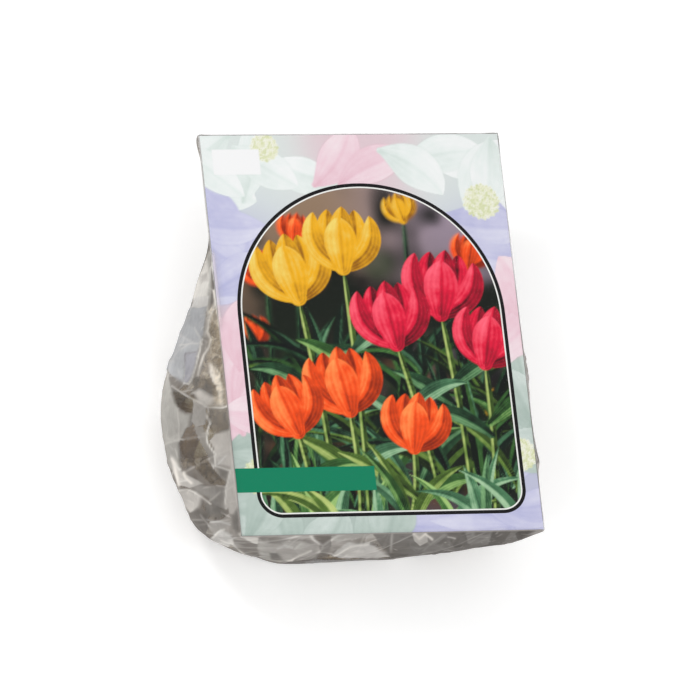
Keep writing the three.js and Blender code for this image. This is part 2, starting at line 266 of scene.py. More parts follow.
def closed_curve(points, t):
    """A point of the closed centripetal Catmull-Rom curve through points, at t from 0 to 1."""
    count = len(points)
    place = t * count
    first = int(math.floor(place))
    weight = place - first
    p0, p1, p2, p3 = (points[(first + k) % count] for k in (-1, 0, 1, 2))
    gap0, gap1, gap2 = (math.sqrt(np.linalg.norm(b - a)) for a, b in ((p0, p1), (p1, p2), (p2, p3)))
    slope1 = ((p1 - p0) / gap0 - (p2 - p0) / (gap0 + gap1) + (p2 - p1) / gap1) * gap1
    slope2 = ((p2 - p1) / gap1 - (p3 - p1) / (gap1 + gap2) + (p3 - p2) / gap2) * gap1
    c2 = -3 * p1 + 3 * p2 - 2 * slope1 - slope2
    c3 = 2 * p1 - 2 * p2 + slope1 + slope2
    return p1 + weight * (slope1 + weight * (c2 + weight * c3))


def sample_stations(left_spacing, right_spacing):
    """Rim, belly and heel points round the bag, about as far apart on the rim as the spacings for
    its left and lower sides and for its right and upper sides."""
    count = len(STATIONS)
    rims, bellies, heels = [], [], []
    belly_points = [np.array(station[1], float) for station in STATIONS]
    heel_points = [np.array(station[2], float) for station in STATIONS]
    for i, (rim, _, _) in enumerate(STATIONS):
        start = np.array(rim, float)
        end = np.array(STATIONS[(i + 1) % count][0], float)
        to_left = start[0] == end[0] == -RIM_X or start[1] == end[1] == -RIM_Y
        spacing = left_spacing if to_left else right_spacing
        steps = max(2, round(float(np.linalg.norm(end - start)) / spacing))
        for step in range(steps):
            part = step / steps
            rims.append(start + (end - start) * part)
            bellies.append(closed_curve(belly_points, (i + part) / count))
            heels.append(closed_curve(heel_points, (i + part) / count))
    return np.array(rims), np.array(bellies), np.array(heels)


def back_height(y):
    """Height of the back film: flat under the bulbs, then climbing to the thin top end."""
    def eased(t):
        """A climb that starts softly and is steepest in its first half."""
        return 1 - (1 - t * t / (t + 0.08)) ** 1.78
    climb = eased(clamp01((y - CLIMB_START) / (CLIMB_END - CLIMB_START))) / eased(1.0)
    beyond = clamp01((y - CLIMB_END) / (RIM_Y - CLIMB_END))
    return CLIMB_HEIGHT * climb + (TOP_SEAL_Z - CLIMB_HEIGHT) * beyond


def rim_ring(rims, inset, z):
    """A ring round the card, moved in by inset."""
    scale = np.array([(RIM_X - inset) / RIM_X, (RIM_Y - inset) / RIM_Y])
    return np.column_stack([rims * scale, np.full(len(rims), z)])


def wall_ring(rims, bellies, heels, q):
    """A ring of the side, for q from 0 at the card to 1 at the heel."""
    rim = np.column_stack([rims, np.full(len(rims), WRAP_Z)])
    return rim * (1 - q) * (1 - 2 * q) + bellies * 4 * q * (1 - q) + heels * q * (2 * q - 1)


def back_ring(heels, reach):
    """A ring of the underside, for reach from 0 at its pole to 1 at the heel."""
    xy = BACK_POLE + (heels[:, :2] - BACK_POLE) * reach
    lift = (heels[:, 2] - back_height(heels[:, 1])) * reach ** 3
    z = back_height(xy[:, 1]) + lift
    rest = ((xy[:, 0] - SPOT[0]) / SPOT[2]) ** 2 + ((xy[:, 1] - SPOT[1]) / SPOT[3]) ** 2
    z = z * smooth(0.9, 1.12, rest)
    return np.column_stack([xy, z])


def ring_normals(rings):
    """Outward normals of a stack of closed rings that runs from the top to the underside."""
    along = np.roll(rings, -1, axis=1) - np.roll(rings, 1, axis=1)
    down = np.gradient(rings, axis=0)
    normals = np.cross(down, along)
    length = np.linalg.norm(normals, axis=2, keepdims=True)
    return normals / np.maximum(length, 1e-9)


def ring_faces(rows, count, closed=True):
    """Quads between neighbouring rings, wound to face outwards."""
    row = np.arange(rows - 1)[:, None] * count
    here = np.arange(count if closed else count - 1)[None, :]
    after = (here + 1) % count
    quads = np.stack([row + here, row + count + here, row + count + after, row + after], axis=-1)
    return quads.reshape(-1, 4)


def slack(points):
    """From 0 at the thin ends to 1 where the bag is full and its film is free to crumple."""
    x, y, z = points[..., 0], points[..., 1], points[..., 2]
    from_pole = np.hypot(x - BACK_POLE[0], y - BACK_POLE[1])
    return clamp01((FRONT_Z - z) / 20) * clamp01((100 - y) / 60) * clamp01(from_pole / 100)


# Name of each bulb, its middle, the way its crown points, and its turn about that.
BULBS = [
    ("bulb_1", (-94.5, -52, 38), (-0.30, -0.05, 0.95), 0.4),
    ("bulb_2", (-6, -107.8, 38), (-0.08, -0.99, 0.05), 1.3),
    ("bulb_3", (81.5, -43, 38), (0.98, 0.12, -0.12), 2.2),
]
BULB_RADIUS = 34.4


# ---- Crinkled film ----

FILM_SPACINGS = (0.56, 1.05)       # of its points along the left and lower sides, and elsewhere
WALL_ROWS = 106                    # rows of points down the sides, and on the underside
BACK_ROWS = 30
FRONT_REACHES = (0.25, 0.55, 0.80, 0.94, 0.972, 0.985)     # its rings over the card
VENT_RADIUS = 3.0
VENT_PULL = 1.45 * VENT_RADIUS     # points of the film this near to a vent's middle are its rim
VENTS = [(x, y) for y in (56, 82) for x in (-63, -21, 21, 63)]

# What the film holds is moved inwards this many times, away from this many points of film.
INWARD_MOVES = 3
CLOSE_FILM = 16

# Straight folds laid out on the film: how many, their lengths and half widths in mm, and a seed.
LONG_FOLDS = (520, (10, 70), (1.4, 4.0), 8)
FINE_FOLDS = (2600, (3, 15), (0.5, 1.1), 9)

# Crumpled cells: their size in mm, their stretch along each axis, and a seed.
BIG_FACETS = (32, (1.0, 1.6, 1.0), 1)
SMALL_FACETS = (13, (1.5, 0.9, 1.0), 2)

# Where the ribs of the top seal and the lap of the back seam rise and end, in mm.
RIBS_START, RIBS_END = (112, 114), (129, 127)
RIB_PITCH = 2.2
LAP_EDGE, LAP_START = (5.2, 4.6), (-20, -10)

# Places where the film lies further in than the smooth form: middle, reach and depth.
DENTS = [
    ((-117, -121, 30), 22, 3.5), ((-45, -134, 28), 25, 2.0), ((-115, 10, 46), 17, 2.5),
    ((-125, -2, 29), 22, 4.5), ((-36, -133, 4), 26, 3.0), ((34, -131, 4), 16, 2.0),
]

# The side that the camera sees is drawn fold by fold, in the pixels of the camera's picture. It
# fades in and out between these rows, and it ends at this height in mm.
DRAWN_TOP = (236, 262)
DRAWN_FOOT = (568, 560)
DRAWN_HEIGHT = 14

# Rows between which the milky strip of turned film on the front's left edge fades in and out.
STRIP_TOP = (246, 258)
STRIP_FOOT = (334, 316)

# Line along which the gusset's film is crumpled most finely.
CRUMPLED = [(213, 312), (216, 340), (219, 370), (221, 398)]

# Ways in which the flat areas get lighter, one after the other: a painted light gradient.
PATCH_SLOPES = [np.array(way) for way in ((-0.8, -0.6), (0.7, 0.7), (0.2, -1.0), (-0.9, 0.5))]

# Tones of the film, from where it lies flat on dark shavings to where it is folded over: partly
# how milky it is, partly painted shade and painted highlight.
FILM_TONES = {
    "shadow": "#37332F", "deep": "#4A4540", "dark": "#65605B", "dim": "#777470",
    "shaded": "#86827D", "middle": "#96928D", "grey": "#A29F99", "cool_dim": "#96959B",
    "cool": "#A1A2A4", "pale": "#B5B0AA", "light": "#C4C1BD", "white": "#DAD6CF",
    "bright": "#E9E2D9",
}

# Main folds of the drawn side: the points of the fold, how far it stands out in mm (below 0 for a
# groove), its half width in pixels, and its tone.
# Along a ridge the tone is a milky line and painted highlight, along a groove painted shade.
FOLDS = [
    ([(212, 240), (213, 262), (214, 279)], 0.4, 1.2, "white"),
    ([(208, 248), (209, 262), (210, 279), (210, 294), (208.5, 313), (206, 325), (204, 336)], -0.5,
      1.3, "grey"),
    ([(214, 291), (215.4, 301), (213, 310), (210, 317), (207.7, 331), (210.8, 340), (208.5, 348),
      (204, 355), (200, 366), (198, 375)], 1.3, 1.1, "bright"),
    ([(215.4, 301), (217, 313), (219, 323)], 0.8, 0.9, "white"),
    ([(201.6, 340), (200, 351), (197.8, 360), (193, 377), (189.4, 384.4), (184.8, 383.6)], 0.9,
      0.8, "white"),
    ([(172.5, 386), (188, 396.6), (198, 402), (207.7, 407.3), (222.3, 407.7), (227.6, 405.8)], 1.3,
      0.9, "white"),
    ([(208.5, 409), (207.7, 416.5), (210, 424), (207.4, 432), (207.7, 442), (211.6, 448.6),
      (215.4, 454), (215.6, 466)], 1.2, 0.9, "white"),
    ([(216, 466.4), (230.4, 471), (227.7, 482.5), (226, 488), (225, 502), (226.8, 509)], 1.2, 0.9,
      "white"),
    ([(226, 455.7), (218, 464.6)], 0.6, 0.8, "light"),
    ([(180.4, 490.5), (187.5, 489.6), (194.6, 492.3), (201.8, 496.8), (210.7, 504)], 1.2, 0.9,
      "white"),
    ([(191, 412), (190, 425)], -0.4, 0.8, "dim"),
    ([(173, 459), (177, 465), (177.5, 473), (179.5, 482), (180, 485)], 0.8, 1.9, "bright"),
    ([(177, 465), (181.5, 469.5)], 0.5, 1.1, "white"),
    ([(185, 473), (187, 478), (192, 483)], 0.7, 1.4, "bright"),
    ([(180, 481.5), (188, 480.5)], 0.4, 0.9, "white"),
    ([(178, 408), (178.6, 430), (179, 441)], 0.3, 0.6, "pale"),
    ([(211, 522), (221, 522), (230, 525)], 0.7, 0.9, "light"),
    ([(213, 538), (218, 533), (224, 530)], 0.8, 1.1, "white"),
    ([(221, 541), (232, 544), (245, 555)], 0.8, 0.9, "white"),
    ([(179, 345), (189, 344), (200, 343.5)], 0.3, 0.6, "light"),
    ([(278, 548), (285, 545), (292, 547)], 0.7, 1.0, "light"),
    ([(288, 563), (299, 556), (311, 551)], 0.8, 1.0, "bright"),
    ([(414, 534), (419, 539), (425, 534), (432, 539)], 0.4, 1.2, "bright"),
    ([(446, 528), (452, 526), (456, 528)], 0.3, 1.0, "bright"),
    ([(448, 537), (455, 538)], 0.3, 0.8, "pale"),
    ([(333, 556), (350, 546), (369, 543)], 0.9, 1.0, "white"),
    ([(345, 559), (373, 558.7)], -0.6, 0.9, "dim"),
]

# Flat areas between those folds: outline, tone, haze, and how far they stand out in mm. Low haze is
# film that touches the shavings or a bulb and shows them.
# Their tones are partly the film's milkiness and partly painted light and shade on the areas.
PATCHES = [
    ([(211, 250), (210, 279), (208, 298.5), (189, 298.5), (196, 280), (204, 255)], "white", 0.85,
      0.2),
    ([(200, 275), (207, 273), (208, 281), (201, 284)], "pale", 0.80, -0.3),
    ([(190, 297), (208, 297), (207, 312), (186, 312)], "light", 0.80, -0.1),
    ([(186, 308), (207, 306), (204, 330), (201, 342), (199, 352), (185, 352), (185, 383),
      (180, 381), (166, 372), (160, 360), (178, 322)], "cool", 0.93, 0.9),
    ([(185, 352), (199, 352), (197, 361), (193, 376), (189, 384), (185, 384)], "cool_dim", 0.93,
      1.1),
    ([(213, 302), (221, 330), (225, 380), (229, 407), (212, 408), (203, 400), (192, 392),
      (196, 377), (200, 366), (204, 356), (209, 348), (211, 340), (208, 331), (211, 315)], "pale",
      0.35, -0.2),
    ([(211, 364), (216, 366), (221, 375), (222, 390), (223, 406), (219, 404), (217, 392),
      (213, 383), (210, 374)], "bright", 0.75, 0.2),
    ([(193, 379), (208, 378), (215, 385), (215, 397), (203, 391), (193, 392)], "shaded", 0.45,
      -0.4),
    ([(192, 393), (199, 389.5), (203, 392), (213, 399), (211.5, 403), (209, 406), (201, 404)],
      "pale", 0.88, 0.3),
    ([(172.5, 388), (174.8, 401), (178, 407), (183.3, 411.5), (190, 412), (192.5, 409), (193, 400),
      (188, 397), (179.4, 391)], "deep", 0.55, -0.5),
    ([(150, 378), (165, 380), (172, 387), (174, 401), (178, 408), (184, 413), (190, 413),
      (190, 425), (184, 432), (179, 445), (181, 470), (165, 470), (150, 440)], "grey", 0.88, 0.0),
    ([(193, 401), (207, 407), (207, 417), (205, 425), (196, 428), (191, 420)], "middle", 0.86,
      0.2),
    ([(187, 427), (193, 427), (196, 436), (190, 442), (181, 438)], "dim", 0.45, -0.3),
    ([(180, 440), (190, 441), (197, 437), (201, 445), (208, 460), (216, 472), (227, 483),
      (226, 487), (212, 484), (205, 479), (196, 468), (188, 461), (182, 452)], "dark", 0.50, -0.5),
    ([(210, 409), (229, 407), (231, 424), (229, 432), (216, 434), (211, 426)], "shaded", 0.50,
      -0.3),
    ([(209, 441), (214, 434), (230, 430), (235, 452), (235, 468), (218, 463), (213, 449)], "pale",
      0.85, 0.2),
    ([(194, 428), (203, 427), (208, 441), (214, 455), (216, 466), (210, 459), (201, 444)],
      "shaded", 0.80, 0.0),
    ([(218, 467), (230, 471), (228, 482), (220, 476)], "dim", 0.70, -0.2),
    ([(226, 488), (231, 471), (235, 455), (237, 470), (240, 500), (240, 516), (229, 512),
      (225, 502)], "pale", 0.85, 0.2),
    ([(190, 484), (205, 486), (212, 486), (226, 489), (225, 502), (226, 509), (214, 505),
      (206, 497), (196, 492)], "shaded", 0.80, -0.2),
    ([(172, 457), (178, 462), (183, 472), (192, 478), (203, 484), (190, 488), (180, 485),
      (174, 470)], "pale", 0.88, 0.2),
    ([(176, 488), (187, 489.6), (194, 492), (202, 497), (197, 508), (188, 513), (176, 500)],
      "pale", 0.86, 0.1),
    ([(203, 506), (214, 504), (226, 510), (222, 517), (206, 516)], "dim", 0.70, -0.3),
    ([(186, 514), (197, 508), (206, 515), (208, 527), (204, 537), (190, 528)], "dark", 0.78, -0.2),
    ([(208, 525), (222, 520), (231, 523), (224, 528), (212, 531)], "middle", 0.90, 0.3),
    ([(208, 540), (221, 530), (232, 535), (229, 548), (214, 546)], "light", 0.90, 0.2),
    ([(231, 515), (238, 505), (242, 533), (234, 529)], "dim", 0.75, -0.2),
    ([(240, 534), (257, 538), (257, 545), (246, 541)], "white", 0.90, 0.2),
    ([(232, 538), (258, 545), (259, 562), (236, 556)], "dark", 0.72, -0.1),
    ([(258, 545), (270, 543), (271, 564), (260, 562)], "middle", 0.85, 0.1),
    ([(256, 538), (300, 539), (298, 546), (268, 544)], "dark", 0.70, -0.3),
    ([(270, 546), (318, 543), (318, 566), (271, 566)], "middle", 0.78, 0.0),
    ([(258, 541), (266, 540), (277, 553), (276, 563), (262, 561)], "grey", 0.82, 0.1),
    ([(269, 553), (277, 554), (284, 563), (271, 564)], "deep", 0.80, -0.2),
    ([(283, 543), (296, 540), (312, 544), (298, 549), (284, 548)], "grey", 0.92, 0.2),
    ([(329, 537), (345, 534.5), (371, 535), (352, 540), (336, 542)], "grey", 0.90, 0.2),
    ([(319, 537), (331, 536), (330, 553), (322, 560)], "dark", 0.75, -0.3),
    ([(333, 557), (338, 548), (350, 543), (368, 542), (380, 548), (391, 556), (370, 559),
      (345, 559)], "light", 0.85, 0.7),
    ([(372, 533), (560, 522), (560, 545), (470, 556), (392, 560), (384, 548)], "shadow", 0.88,
      0.0),
    ([(412, 533), (427, 532), (428, 541), (420, 545), (415, 542)], "pale", 0.88, 0.3),
    ([(446, 531), (463, 530), (470, 545), (455, 549)], "deep", 0.75, 0.2),
    ([(494, 528), (512, 527), (506, 541), (488, 546)], "deep", 0.75, 0.2),
    ([(515, 545), (528, 537), (541, 526), (548, 530), (530, 548)], "middle", 0.85, 0.2),
]


def to_segments(points, line):
    """Distance from each point to a line of points, in the plane of both."""
    best = np.full(len(points), 1e9)
    line = np.asarray(line, float)
    for start, end in zip(line[:-1], line[1:]):
        step = end - start
        t = clamp01((points - start) @ step / max(step @ step, 1e-9))
        best = np.minimum(best, np.linalg.norm(points - start - t[:, None] * step, axis=1))
    return best


def inside_outline(points, outline):
    """How far each point lies inside a closed outline; negative outside."""
    outline = np.asarray(outline, float)
    after = np.roll(outline, -1, axis=0)
    inside = np.zeros(len(points), bool)
    for (x0, y0), (x1, y1) in zip(outline, after):
        crosses = (y0 > points[:, 1]) != (y1 > points[:, 1])
        where = (x1 - x0) * (points[:, 1] - y0) / (y1 - y0 if y1 != y0 else 1e-9) + x0
        inside ^= crosses & (points[:, 0] < where)
    gap = to_segments(points, np.vstack([outline, outline[:1]]))
    return np.where(inside, gap, -gap)


def facets(points, size, stretch, seed):
    """Crumpled cells: the squared distance to the cell's middle over the size, the distance to the
    cell's border in mm, and a random number per cell."""
    scaled = points / (size * np.asarray(stretch)) + seed * 7.31
    bowl = np.empty(len(points))
    border = np.empty(len(points))
    draw = np.empty(len(points))
    for i, where in enumerate(scaled):
        distances, centres = noise.voronoi(where)
        bowl[i] = distances[0] ** 2
        border[i] = (distances[1] - distances[0]) * size / 2
        draw[i] = (math.sin(centres[0] @ Vector((12.99, 78.23, 37.72))) * 43758.5453) % 1
    return bowl, border, draw


def film_form():
    """Points of the film, ring by ring: the front, then from its rim to the pole of the back."""
    rims, bellies, heels = sample_stations(*FILM_SPACINGS)
    front = [rim_ring(rims * reach, 0, FRONT_Z) for reach in FRONT_REACHES]
    sides = [
        rim_ring(rims, RIM_BEVEL, FRONT_Z),
        rim_ring(rims, 0, FRONT_Z - RIM_DROP),
        rim_ring(rims, 0, WRAP_Z),
    ]
    sides += [wall_ring(rims, bellies, heels, row / WALL_ROWS) for row in range(1, WALL_ROWS + 1)]
    sides += [back_ring(heels, row / (BACK_ROWS + 1)) for row in range(BACK_ROWS, 0, -1)]
    return np.array(front), np.array(sides)


def unrolled(rings):
    """Places on the film laid out flat: along the rim, and down from it, in mm."""
    along = np.linalg.norm(np.roll(rings[2], -1, axis=0) - rings[2], axis=1)
    along = np.concatenate([[0], np.cumsum(along)[:-1]])
    down = np.linalg.norm(np.diff(rings, axis=0), axis=2)
    down = np.vstack([np.zeros(rings.shape[1]), np.cumsum(down, axis=0)])
    return np.stack([np.broadcast_to(along, down.shape), down], axis=-1)


def warped(points, amount, size, seed):
    """Points shifted by smooth noise, so that what is laid out on them isn't straight."""
    shift = np.column_stack([wander(points, size, seed + k) for k in range(points.shape[1])])
    return points + amount * shift


def straight_folds(flat, count, lengths, widths, seed):
    """Folds that are straight on the film laid out flat: their relief, painted light and shade on
    their two sides, and a milky line along each that is also a painted highlight.
    """
    draw = random.Random(seed)
    around, deep = flat.max(axis=(0, 1))
    relief, light, milk_and_highlight = np.zeros((3, *flat.shape[:2]))
    for _ in range(count):
        long = lengths[0] + (lengths[1] - lengths[0]) * draw.random() ** 2
        turn = draw.gauss(1.2, 0.5) * draw.choice((-1, 1))
        middle = np.array([draw.uniform(0, around), draw.uniform(4, min(deep, 150))])
        along = np.array([math.cos(turn), math.sin(turn)])
        strength = draw.random() ** 1.6
        wide = draw.uniform(*widths)
        reach = long / 2 + 3 * wide
        columns = np.searchsorted(flat[0, :, 0], (middle[0] - reach, middle[0] + reach))
        where = slice(None), slice(*columns)
        away = flat[where] - middle
        t = away @ along / (long / 2)
        gap = away @ np.array([-along[1], along[0]]) + draw.uniform(-0.8, 0.8) * t * t
        fade = clamp01(1 - t * t) ** 0.7
        sharp = np.exp(-np.abs(gap) / wide) * fade
        tilt = np.tanh(gap) * np.exp(-np.abs(gap) / (2.5 * wide)) * fade * draw.choice((-1, 1))
        rise = min(1, wide / 1.5) * draw.choice((1, 1, -0.3))
        relief[where] += strength * (1.3 * sharp + 0.5 * tilt) * rise
        # Painted light on one side of the fold and painted shade on the other.
        light[where] += strength * 0.35 * tilt
        # A milky line along the fold, which is also a painted highlight.
        line = np.exp(-(gap / min(0.9, 0.65 * wide)) ** 2) * fade
        milk_and_highlight[where] = np.maximum(milk_and_highlight[where], strength * line)
    return relief.ravel(), light.ravel(), milk_and_highlight.ravel()


def drawn_share(points, normals):
    """How far each point belongs to the drawn side, from 0 to 1."""
    row = in_view(points)[:, 1]
    facing = smooth(0.0, 0.12, normals @ VIEW_BACK) * (points[:, 2] > DRAWN_HEIGHT)
    share = facing * smooth(*DRAWN_FOOT, row) * smooth(*DRAWN_TOP, row)
    return share * (1 - 0.3 * smooth(0.5, 0.8, -normals[:, 1]))


def touching(points):
    """How far the film lies against the shavings or a bulb, from 0 to 1."""
    touch = smooth(0.15, 0.5, wander(points, 26, 10)) * smooth(66, 56, points[:, 2])
    for _, at, _, _ in BULBS:
        gap = np.linalg.norm(points - at, axis=1)
        touch = np.maximum(touch, smooth(BULB_RADIUS + 9, BULB_RADIUS + 3, gap))
    return touch * smooth(5, 20, points[:, 2])


def crumple(points, normals, flat):
    """How far the film stands out at each point in mm, its tone, and its haze."""
    bent = warped(points, 5, 26, 31)
    laid = np.column_stack([warped(flat.reshape(-1, 2), 3, 20, 35), np.zeros(len(points))])
    big, big_edge, big_draw = facets(laid, *BIG_FACETS)
    small, small_edge, small_draw = facets(laid[:, [1, 0, 2]], *SMALL_FACETS)
    patchy = smooth(-0.1, 0.45, wander(points, 24, 3))
    thin = smooth(-0.25, 0.6, wander(points, 15, 4))
    fold_relief, fold_light, fold_milk_and_highlight = straight_folds(flat, *LONG_FOLDS)
    fine_relief, fine_light, fine_milk_and_highlight = straight_folds(flat, *FINE_FOLDS)
    fine_milk_and_highlight = fine_milk_and_highlight * smooth(-0.2, 0.3, wander(points, 18, 46))
    relief = 2.6 * big + 1.2 * patchy * small + fold_relief + 0.8 * fine_relief
    relief = relief - relief.mean()
    for middle, reach, depth in DENTS:
        relief = relief - depth * np.exp(-(np.linalg.norm(points - middle, axis=1) / reach) ** 2)

    near = drawn_share(points, normals)
    apart = 1 - near
    # Milky lines along the borders of the crumpled cells and along the folds, which are also
    # painted highlights.
    crease = 0.75 * thin * np.exp(-(big_edge / 0.8) ** 2)
    crease = np.maximum(crease, 0.45 * thin * patchy * np.exp(-(small_edge / 0.7) ** 2))
    crease = np.maximum(crease, np.maximum(0.75 * fold_milk_and_highlight, 0.35 * fine_milk_and_highlight))
    crease = crease * (1 - 0.25 * apart)
    light = fold_light + fine_light
    # The tone differs at random from cell to cell, and carries painted light and shade from the
    # folds' sides.
    spread = (1 + 0.7 * apart) * (0.8 * (big_draw - 0.5) + 0.5 * patchy * (small_draw - 0.5))
    shade = clamp01(0.5 + spread + 0.8 * light
                    + 0.22 * wander(bent, 9, 5) + 0.12 * wander(bent * (1, 1, 4), 5, 6))
    tone = mixed(srgb("#5F5853"), srgb("#A8A39D"), shade)
    tone = mixed(tone, srgb("#E6E2DC"), 0.85 * crease)
    haze = (0.58 - 0.18 * apart + (0.25 + 0.2 * apart) * shade) * (1 - 0.55 * touching(points))
    haze = haze + 0.4 * crease

    # Painted highlights along the folds of the drawn side, which also make the film milkier there.
    milk_and_highlight = near * np.maximum(0.28 * fold_milk_and_highlight, 0.35 * fine_milk_and_highlight)
    drawn = np.nonzero(near > 0)[0]
    given = (points, near, light, milk_and_highlight, relief, tone, haze)
    relief[drawn], tone[drawn], haze[drawn] = drawn_side(*(values[drawn] for values in given))
    return relief, tone, clamp01(haze)


def draw_patches(points, near, light, relief, tone, haze):
    """The flat areas of the drawn side over the film's own creases."""
    seen = in_view(points)
    bent = warped(points, 5, 26, 31)
    # Random grain in the tone, with painted light and shade from the folds' sides.
    grain = 1 + 0.12 * wander(bent, 6, 7) + 0.08 * wander(bent * (1, 1, 5), 2.4, 8) + 0.30 * light
    shifted = seen + 1.6 * np.column_stack([wander(points, 9, 41), wander(points, 9, 42)])
    for k, (outline, milk_and_light_tone, patch_haze, height) in enumerate(PATCHES):
        edge = 0.5 + 2.4 * smooth(-0.3, 0.5, wander(points, 20, 50 + k))
        share = smooth(-edge, edge, inside_outline(shifted, outline)) * near
        if not share.any():
            continue
        middle = np.mean(outline, axis=0)
        reach = np.abs(np.array(outline) - middle).max()
        # Each flat area gets lighter towards one side: a painted light gradient.
        slope = ((shifted - middle) @ PATCH_SLOPES[k % len(PATCH_SLOPES)]) / reach
        base = srgb(FILM_TONES[milk_and_light_tone])
        lit = grain * (1 + 0.16 * np.clip(slope, -1, 1))
        tone = mixed(tone, base * lit[:, None], 0.95 * share)
        haze = haze * (1 - share) + patch_haze * share
        relief = relief + height * share
    return relief, tone, haze


def draw_crumples(points, near, relief, tone, haze):
    """Fine sharp ridges along the gusset's crumpled line: painted highlights on top, painted
    shade in brown between them.
    """
    ridge = np.zeros(len(points))
    for size, seed in ((4.2, 47), (2.2, 48)):
        ridge += 0.5 * (1 - np.abs(wander(warped(points, 2, 6, seed), size, seed)) * 2.2)
    crumpled = near * smooth(11, 3, to_segments(in_view(points), CRUMPLED))
    # Painted highlights on the ridges' tops and painted shade between them.
    tone = mixed(tone, srgb("#E4D8C8"), 0.6 * crumpled * smooth(0.3, 0.95, ridge))
    tone = mixed(tone, srgb("#6B5D50"), 0.5 * crumpled * smooth(0.15, -0.35, ridge))
    tone = tone * (1 - crumpled[:, None] * (0.0, 0.03, 0.10))
    haze = haze + 0.2 * crumpled * smooth(0.3, 0.95, ridge)
    return relief + 0.6 * crumpled * ridge, tone, haze


def draw_folds(points, near, relief, tone, haze):
    """The main folds of the drawn side: painted highlights on ridges, painted shade in grooves."""
    shift = np.column_stack([wander(points, 7, 43), wander(points, 7, 44)])
    shifted = in_view(points) + 0.5 * shift
    uneven = 0.55 + 0.45 * smooth(-0.4, 0.3, wander(points, 12, 45))
    for line, height, width, milk_and_light_tone in FOLDS:
        gap = to_segments(shifted, line)
        relief = relief + near * height * np.exp(-gap / (2.6 * width))
        glow = 0.85 * np.exp(-(gap / (1.05 * width)) ** 2) + 0.15 * np.exp(-gap / (3 * width))
        share = near * glow * uneven
        tone = mixed(tone, srgb(FILM_TONES[milk_and_light_tone]), 0.95 * share)
        haze = haze * (1 - share) + 0.92 * share
    return relief, tone, haze


def drawn_side(points, near, light, milk_and_highlight, relief, tone, haze):
    """The relief, tone and haze of the drawn side, from those of the film's own creases."""
    relief, tone, haze = draw_patches(points, near, light, relief * (1 - 0.5 * near), tone, haze)
    relief, tone, haze = draw_crumples(points, near, relief, tone, haze)
    # Milky lines along the folds, which are also painted highlights.
    tone = mixed(tone, srgb("#DAD4CC"), milk_and_highlight)
    haze = haze + 0.3 * milk_and_highlight
    return draw_folds(points, near, relief, tone, haze)


def seams(points):
    """The ribbed top seal and the lap seam down the middle of the back: relief and milkiness."""
    x, y, z = points.T
    under = (z < TOP_SEAL_Z + 1.0) * smooth(97, 92, np.abs(x))
    wave = 0.5 + 0.5 * np.cos(y * 2 * math.pi / RIB_PITCH)
    ribs = smooth(*RIBS_START, y) * smooth(*RIBS_END, y) * wave
    lap = smooth(*LAP_EDGE, np.abs(x - BACK_POLE[0])) * smooth(*LAP_START, y)
    return under * (0.35 * ribs + 0.35 * lap), under * np.maximum(ribs, 0.35 * lap)


def film_material():
    """Clear blown polyethylene film: milky where it is creased, glossy all over. Its tone holds
    painted highlights and painted shade.
    """
    nodes = Nodes("polyethylene_film")
    where = nodes.coordinates()
    tone = nodes.add("Attribute", attribute_name="tone")
    crinkle = nodes.add("TexVoronoi", {"Vector": where, "Scale": 0.16}, feature="DISTANCE_TO_EDGE")
    fine = nodes.add("TexNoise", {"Vector": where, "Scale": 0.35, "Detail": 3.0})
    edge = nodes.add("MapRange", {"Value": crinkle.outputs["Distance"], "From Max": 0.09,
                                  "To Min": 1.0, "To Max": 0.0})
    height = nodes.add("Math", {0: edge.outputs[0], 1: 0.5, 2: fine.outputs[0]},
                       operation="MULTIPLY_ADD")
    bump = nodes.add("Bump", {"Height": height.outputs[0], "Strength": 0.35, "Distance": 0.0004})
    facing = nodes.add("LayerWeight", {"Blend": 0.35}).outputs["Facing"]
    rise = nodes.add("Math", {0: facing, 1: 0.25, 2: tone.outputs["Alpha"]},
                     operation="MULTIPLY_ADD", use_clamp=True)
    coat = nodes.add("MapRange", {"Value": facing, "From Min": 0.2, "From Max": 0.7,
                                  "To Min": 0.65, "To Max": 0.12})
    return nodes.finish({
        "Base Color": tone.outputs["Color"], "Roughness": 0.18, "Specular IOR Level": 0.0,
        "Coat Weight": coat.outputs[0], "Coat Roughness": 0.06, "Normal": bump.outputs[0],
        "Coat Normal": bump.outputs[0], "Alpha": rise.outputs[0]})


def punched(points, faces):
    """The film without the round vent holes, whose rims are drawn onto true circles."""
    inside = np.zeros(len(points), bool)
    for vent in VENTS:
        away = points[:, :2] - vent
        gap = np.hypot(*away.T)
        near = (points[:, 2] < TOP_SEAL_Z) & (gap < VENT_PULL)
        points[near, :2] = vent + away[near] * (VENT_RADIUS / np.maximum(gap[near], 0.1))[:, None]
        inside |= near
    return [face for face in faces if not all(inside[index] for index in face)]


def pane_tones(points):
    """The clear front, with a milky strip of turned film along its left edge."""
    row = in_view(points)[:, 1]
    strip = smooth(-97.2, -99.8, points[:, 0]) * smooth(*STRIP_TOP, row) * smooth(*STRIP_FOOT, row)
    tone = mixed(srgb("#9A9AA2"), srgb("#EADFE0"), strip)
    return np.column_stack([tone, 0.012 + 0.5 * strip])


def make_film_piece(name, rings, tones, material, pole=None, closed=True):
    """One stretch of the film from its rings. A pole closes the first ring of the front and the
    last ring of the back, and has the tone of the point beside it."""
    rows, count = rings.shape[:2]
    points, colours = rings.reshape(-1, 3), tones.reshape(-1, 4)
    faces = ring_faces(rows, count, closed).tolist()
    if pole is not None:
        middle = len(points)
        edge = 0 if name == "film_front" else middle - count
        points, colours = np.vstack([points, pole]), np.vstack([colours, colours[edge]])
        for i in range(count):
            pair = [edge + i, edge + (i + 1) % count]
            faces.append([middle] + (pair if edge == 0 else pair[::-1]))
    if name == "film_back":
        faces = punched(points, faces)
    piece = make_piece(name, points, faces, material, colours)
    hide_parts("bag")


